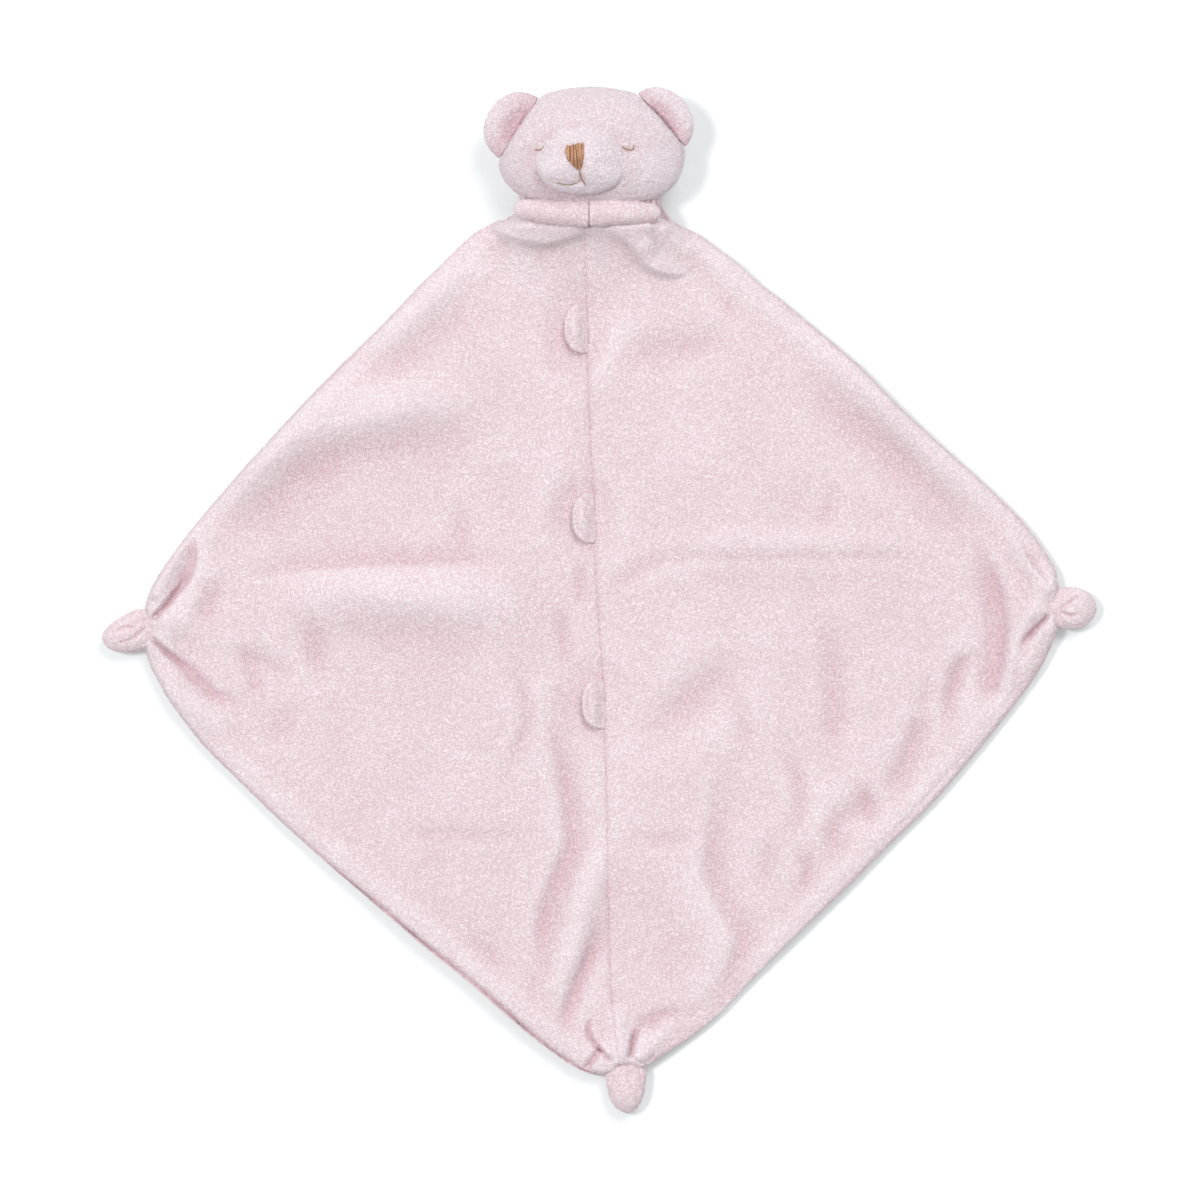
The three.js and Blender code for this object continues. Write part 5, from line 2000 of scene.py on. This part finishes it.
@dataclass
class Neck:
    """The gathered neck under the head and the two rolled halves of its collar."""

    middle_x: float = -4.6
    start_y: float = 170.8
    end_y: float = 187.0
    root: Place = (40.5, 8.2, 11.2)  # half width, half depth, height of the middle
    seat: Place = (33.0, 13.4, 21.5)
    rings: int = 30
    sides: int = 240
    pinch: float = 0.1
    gathers: int = 34
    gather_depth: float = 0.9
    floor_gap: float = 0.3
    square: float = 0.75  # how square its underside is at the root, to fill the blanket's opening
    left_bar: Line = (
        (-37.8, 178.8, 22.0), (-34.8, 178.6, 25.6), (-28.0, 178.0, 27.6), (-18.0, 177.0, 28.4),
        (-4.4, 176.8, 28.4),
    )
    right_bar: Line = (
        (25.9, 177.0, 22.0), (22.9, 177.0, 25.6), (16.5, 177.0, 27.6), (7.5, 177.2, 28.4),
        (-5.6, 177.1, 28.4),
    )
    meet_x: float = -5.0  # where the two bars press together
    meet_gap: float = 0.02
    wrinkles: float = 23.0
    wrinkle_depth: float = 0.02
    bar_widths: tuple[float, ...] = (3.8, 4.8, 5.4, 5.9, 6.4, 6.3)
    bar_depths: tuple[float, ...] = (4.0, 5.2, 6.0, 6.4, 6.4, 6.1)
    bend: Bend = Bend("blanket", "neck", (0, 0.166, 0.022), (0, 0.172, 0.022))

    def build(self, pile: Pile, velour: Material) -> None:
        """Builds the gathered sleeve and the collar.

        Args:
            pile: Their tufts.
            velour: Their material.
        """
        share = np.linspace(0, 1, self.rings)[:, None]
        turn = np.linspace(0, 2 * math.pi, self.sides, endpoint=False)[None]
        swell = np.sin(math.pi * share)
        pinch = 1 - self.pinch * swell
        folds = self.gather_depth * np.cos(self.gathers * turn + 1.3 * np.sin(3 * turn)) * swell
        width = (self.root[0] + (self.seat[0] - self.root[0]) * smooth(share)) * pinch + folds
        depth = self.root[1] + (self.seat[1] - self.root[1]) * share + folds
        height = self.root[2] + (self.seat[2] - self.root[2]) * share
        power = np.where(np.sin(turn) < 0, 1 - self.square * (1 - smooth(1.2 * share)), 1.0)
        x = self.middle_x - width * np.sign(np.cos(turn)) * np.abs(np.cos(turn)) ** power
        z = np.maximum(height + depth * np.sin(turn), self.floor_gap)
        y = self.start_y + (self.end_y - self.start_y) * share + 0 * turn
        sleeve = closed_rings("neck_sleeve", np.stack([x, y, z], axis=-1))
        pile.raise_on(sleeve)
        declare_pad(sleeve, velour, "neck_gather", self.bend, 0.5)
        for side, bar in ((Side.LEFT, self.left_bar), (Side.RIGHT, self.right_bar)):
            roll = Roll(
                f"collar_{side.word}_roll", bar, self.bar_widths, self.bar_depths, sides=104, rings=90,
                end_round=0.05, start_round=0.12,
            )
            points, shares, around, middle = roll.form()
            outward = points - middle[:, None]
            wrinkle = np.sin(shares * self.wrinkles + side.value)[:, None] * np.cos(2 * around)[None]
            wrinkle = 1 + self.wrinkle_depth * wrinkle
            points = middle[:, None] + outward * wrinkle[..., None]
            past = (self.meet_x - points[..., 0]) * side.value
            points[..., 0] += side.value * np.maximum(past + self.meet_gap, 0)
            pad = closed_rings(roll.name, points)
            pile.raise_on(pad)
            declare_pad(pad, velour, f"collar_{side.word}", "neck", 0.6)


@dataclass
class Tab:
    """A half-round tab sewn into the centre seam, with a ridge inside its rim."""

    ball: Ball
    place: str
    root: Spot
    lean: float = 2.19  # degrees that the seam leans
    tall: float = 11.4
    wide: float = 9.0
    seat: float = 1.8
    tuck: float = 0.4  # into the seam
    half_depth: float = 2.4
    powers: Spot = (2.3, 5.0)  # of its rim and its sewn edge
    groove: float = 0.75  # inside its rim
    groove_at: float = 0.76
    groove_width: float = 0.08
    lift: float = 10.5
    droop: float = 3.3  # of its sewn edge
    droop_share: float = 0.55  # of its width
    thinned: float = 0.62
    skin: float = 0.9

    def build(self, pile: Pile, velour: Material) -> None:
        """Builds the tab's face and back.

        Args:
            pile: Their tufts.
            velour: Their material.
        """
        turned = self.ball.directions
        outer = turned[:, 0] < 0
        power = np.where(outer, *self.powers)
        wide = np.where(outer, self.wide, self.seat)
        points = oval(turned, wide, self.tall, self.half_depth, power)
        flat = np.abs(points[:, 0] / wide) ** power + np.abs(points[:, 1] / self.tall) ** power
        ring = bell((flat ** (1 / power) - self.groove_at) / self.groove_width)
        points[:, 2] -= np.sign(points[:, 2]) * self.groove * ring * outer
        free = self.wide * self.droop_share
        sewn = smooth((points[:, 0] + free) / (free + self.seat))
        points[:, 2] = points[:, 2] * (1 - self.thinned * sewn) - self.droop * sewn
        placed = turn_to(points, self.lean, (self.root[0] - self.seat + self.tuck, self.root[1], self.lift))
        for half, word in ((Half.FACE, "face"), (Half.BACK, "back")):
            piece = self.ball.part(f"{self.place}_tab_{word}_cloth", placed, half)
            pile.raise_on(piece)
            solidify(piece, self.skin)
            declare_pad(piece, velour, f"{self.place}_tab_{word}", f"{self.place}_tab", 0.4)


# Studio


@dataclass
class Studio:
    """A white floor, soft light from the upper left and the top, and a camera straight above."""

    floor_size: float = 6.0
    floor_z: float = -0.0004
    paper: str = "#e9eeee"
    photo_width: float = 552.0
    lens: float = 200.0
    sensor: float = 36.0
    focus_z: float = 8.0
    sky: float = 0.46
    key_place: Place = (-2.64, 0.81, 5.66)
    key_power: float = 170.0
    key_size: float = 1.3
    top_place: Place = (1.8, 3.0, 5.1)
    top_power: float = 142.0
    top_size: float = 3.0
    floor_glow: float = 0.16

    def floor(self) -> None:
        """Lays the floor, white to the camera, with the object's shadow on it."""
        deselect_all()
        bpy.ops.mesh.primitive_plane_add(size=self.floor_size, location=(0, 0, self.floor_z))
        floor = bpy.context.object
        floor.name = "floor"
        made = empty_material("white_paper_floor")
        paper = add_node(made, "ShaderNodeBsdfDiffuse", Color=linear(self.paper))
        rays = add_node(made, "ShaderNodeLightPath")
        seen = add_node(
            made, "ShaderNodeMath", {"operation": "MAXIMUM"},
            _0=rays.outputs["Is Camera Ray"], _1=rays.outputs["Is Glossy Ray"],
        )
        glow = add_node(made, "ShaderNodeEmission", Color=linear("#ffffff"), Strength=self.floor_glow)
        both = add_node(made, "ShaderNodeAddShader", _0=paper.outputs[0], _1=glow.outputs[0])
        mixed = add_node(
            made, "ShaderNodeMixShader", _0=seen.outputs[0], _1=paper.outputs[0], _2=both.outputs[0]
        )
        add_node(made, "ShaderNodeOutputMaterial", Surface=mixed.outputs[0])
        floor.data.materials.append(made)

    def light(self, name: str, place: Place, size: float, power: float) -> None:
        """Hangs one soft lamp that points at the middle of the blanket.

        Args:
            name: Its name.
            place: Where it hangs, in metres.
            size: Its width in metres.
            power: Its power in watts.
        """
        lamp = bpy.data.lights.new(name, "AREA")
        lamp.shape = "DISK"
        lamp.size = size
        lamp.energy = power
        holder = bpy.data.objects.new(name, lamp)
        bpy.context.scene.collection.objects.link(holder)
        holder.location = place
        holder.rotation_mode = "QUATERNION"
        holder.rotation_quaternion = Vector(place).to_track_quat("Z", "Y")

    def world(self) -> None:
        """Surrounds the scene with an even pale sky, white to the camera."""
        world = bpy.data.worlds.new("studio_sky")
        bpy.context.scene.world = world
        world.use_nodes = True
        world.node_tree.nodes.clear()
        rays = add_node(world, "ShaderNodeLightPath")
        soft = add_node(world, "ShaderNodeBackground", Color=linear("#ffffff"), Strength=self.sky)
        white = add_node(world, "ShaderNodeBackground", Color=linear("#ffffff"), Strength=1.0)
        mixed = add_node(
            world, "ShaderNodeMixShader", _0=rays.outputs["Is Camera Ray"],
            _1=soft.outputs[0], _2=white.outputs[0],
        )
        add_node(world, "ShaderNodeOutputWorld", Surface=mixed.outputs[0])

    def camera(self) -> None:
        """Hangs the camera straight above, with a long lens."""
        data = bpy.data.cameras.new("camera")
        data.lens = self.lens
        data.sensor_width = self.sensor
        data.clip_end = 100
        camera = bpy.data.objects.new("camera", data)
        bpy.context.scene.collection.objects.link(camera)
        distance = self.photo_width * self.lens / self.sensor
        camera.location = (0, 0, (distance + self.focus_z) * MM)
        bpy.context.scene.camera = camera

    def build(self) -> None:
        """Sets the whole studio up."""
        self.camera()
        self.floor()
        self.world()
        self.light("key_lamp", self.key_place, self.key_size, self.key_power)
        self.light("top_lamp", self.top_place, self.top_size, self.top_power)
        bpy.context.scene.view_settings.view_transform = "Standard"


def main() -> None:
    """Builds the toy piece by piece."""
    logging.basicConfig(level=logging.INFO, format="%(message)s")
    Studio().build()
    velour = PINK_VELOUR.material()
    head_velour = HEAD_VELOUR.material()
    back_velour = BACK_VELOUR.material()
    pink_thread = PINK_THREAD.material()
    brown_thread = BROWN_THREAD.material()
    tan_thread = TAN_THREAD.material()
    fibrefill = FIBREFILL.material()

    blanket = Blanket()
    panels = blanket.sides(PILE, velour)
    blanket.back(PILE, back_velour)
    SeamStitches(blanket.form).build(surface_of(*panels), pink_thread)
    tab_ball = Ball(TAB_CUTS)
    for place, root in zip(("top", "middle", "bottom"), blanket.form.tab_places):
        Tab(tab_ball, place, root).build(PILE, velour)
    knobs = (
        Knob("left", "left_wing", ((-208.9, -12.7), (-214.5, -14.6), (-220.5, -16.6), (-228.9, -18.3)),
             (4.6, 7.4, 9.4, 9.2, 8.5, 7.8, 7.5, 7.0), (2.2, 3.4, 4.9, 6.0, 6.5, 6.4, 6.1, 5.6),
             ((2.0, 0.6, 0.1), (1.2, 0.5, 0.12), (2.7, 0.35, 0.1)),
             (((-220.8, -13.3), (-217.5, -12.4), (-214.3, -12.6)),
              ((-220.1, -19.8), (-216.5, -18.2), (-212.8, -16.2), (-209.9, -13.3)))),
        Knob("right", "right_wing", ((210.7, -3.8), (216.0, -3.8), (222.0, -3.7), (228.4, -3.6)),
             (4.4, 6.8, 8.7, 9.5, 9.8, 9.6, 9.25, 8.4), (2.2, 3.2, 4.6, 5.8, 6.5, 6.5, 6.2, 5.6),
             ((1.15, 0.55, 0.1), (1.95, 0.5, 0.1)),
             (((211.5, -3.9), (213.6, -2.4), (216.4, -0.4), (219.3, 1.5)),
              ((212.0, -5.4), (214.2, -6.3), (216.5, -7.0), (218.7, -6.7))), end_round=0.45),
        Knob("bottom", "blanket", ((12.0, -216.8), (11.9, -222.0), (12.2, -228.0), (13.2, -236.0)),
             (4.4, 7.2, 9.3, 9.2, 8.65, 8.15, 7.65, 6.8), (2.2, 3.3, 4.8, 6.0, 6.4, 6.3, 6.0, 5.4),
             ((1.45, 0.4, 0.12), (2.2, 0.35, 0.1))),
    )
    for knob in knobs:
        knob.build(PILE, velour, pink_thread)

    Neck().build(PILE, velour)
    head = Head(Ball(HEAD_CUTS))
    face = head.build(PILE, head_velour, fibrefill)
    cover = Muzzle(Ball(MUZZLE_CUTS), head).build(PILE, head_velour, fibrefill)
    features = surface_of(cover, face)
    embroidery = Embroidery()
    embroidery.build_nose(features, brown_thread)
    embroidery.build_lines(features, tan_thread)
    ear_ball = Ball(EAR_CUTS)
    left_angle, right_angle = head.ear_angles
    for ear in (
        Ear(ear_ball, head, Side.LEFT, (-36.9, 215.9), left_angle, (-41.5, 220.5), reach=16.2,
            half_width=16.8, base_reach=8.0),
        Ear(ear_ball, head, Side.RIGHT, (27.3, 219.0), right_angle, (31.9, 224.0), reach=14.6,
            half_width=16.6),
    ):
        ear.build(PILE, head_velour)


if __name__ == "__main__":
    main()
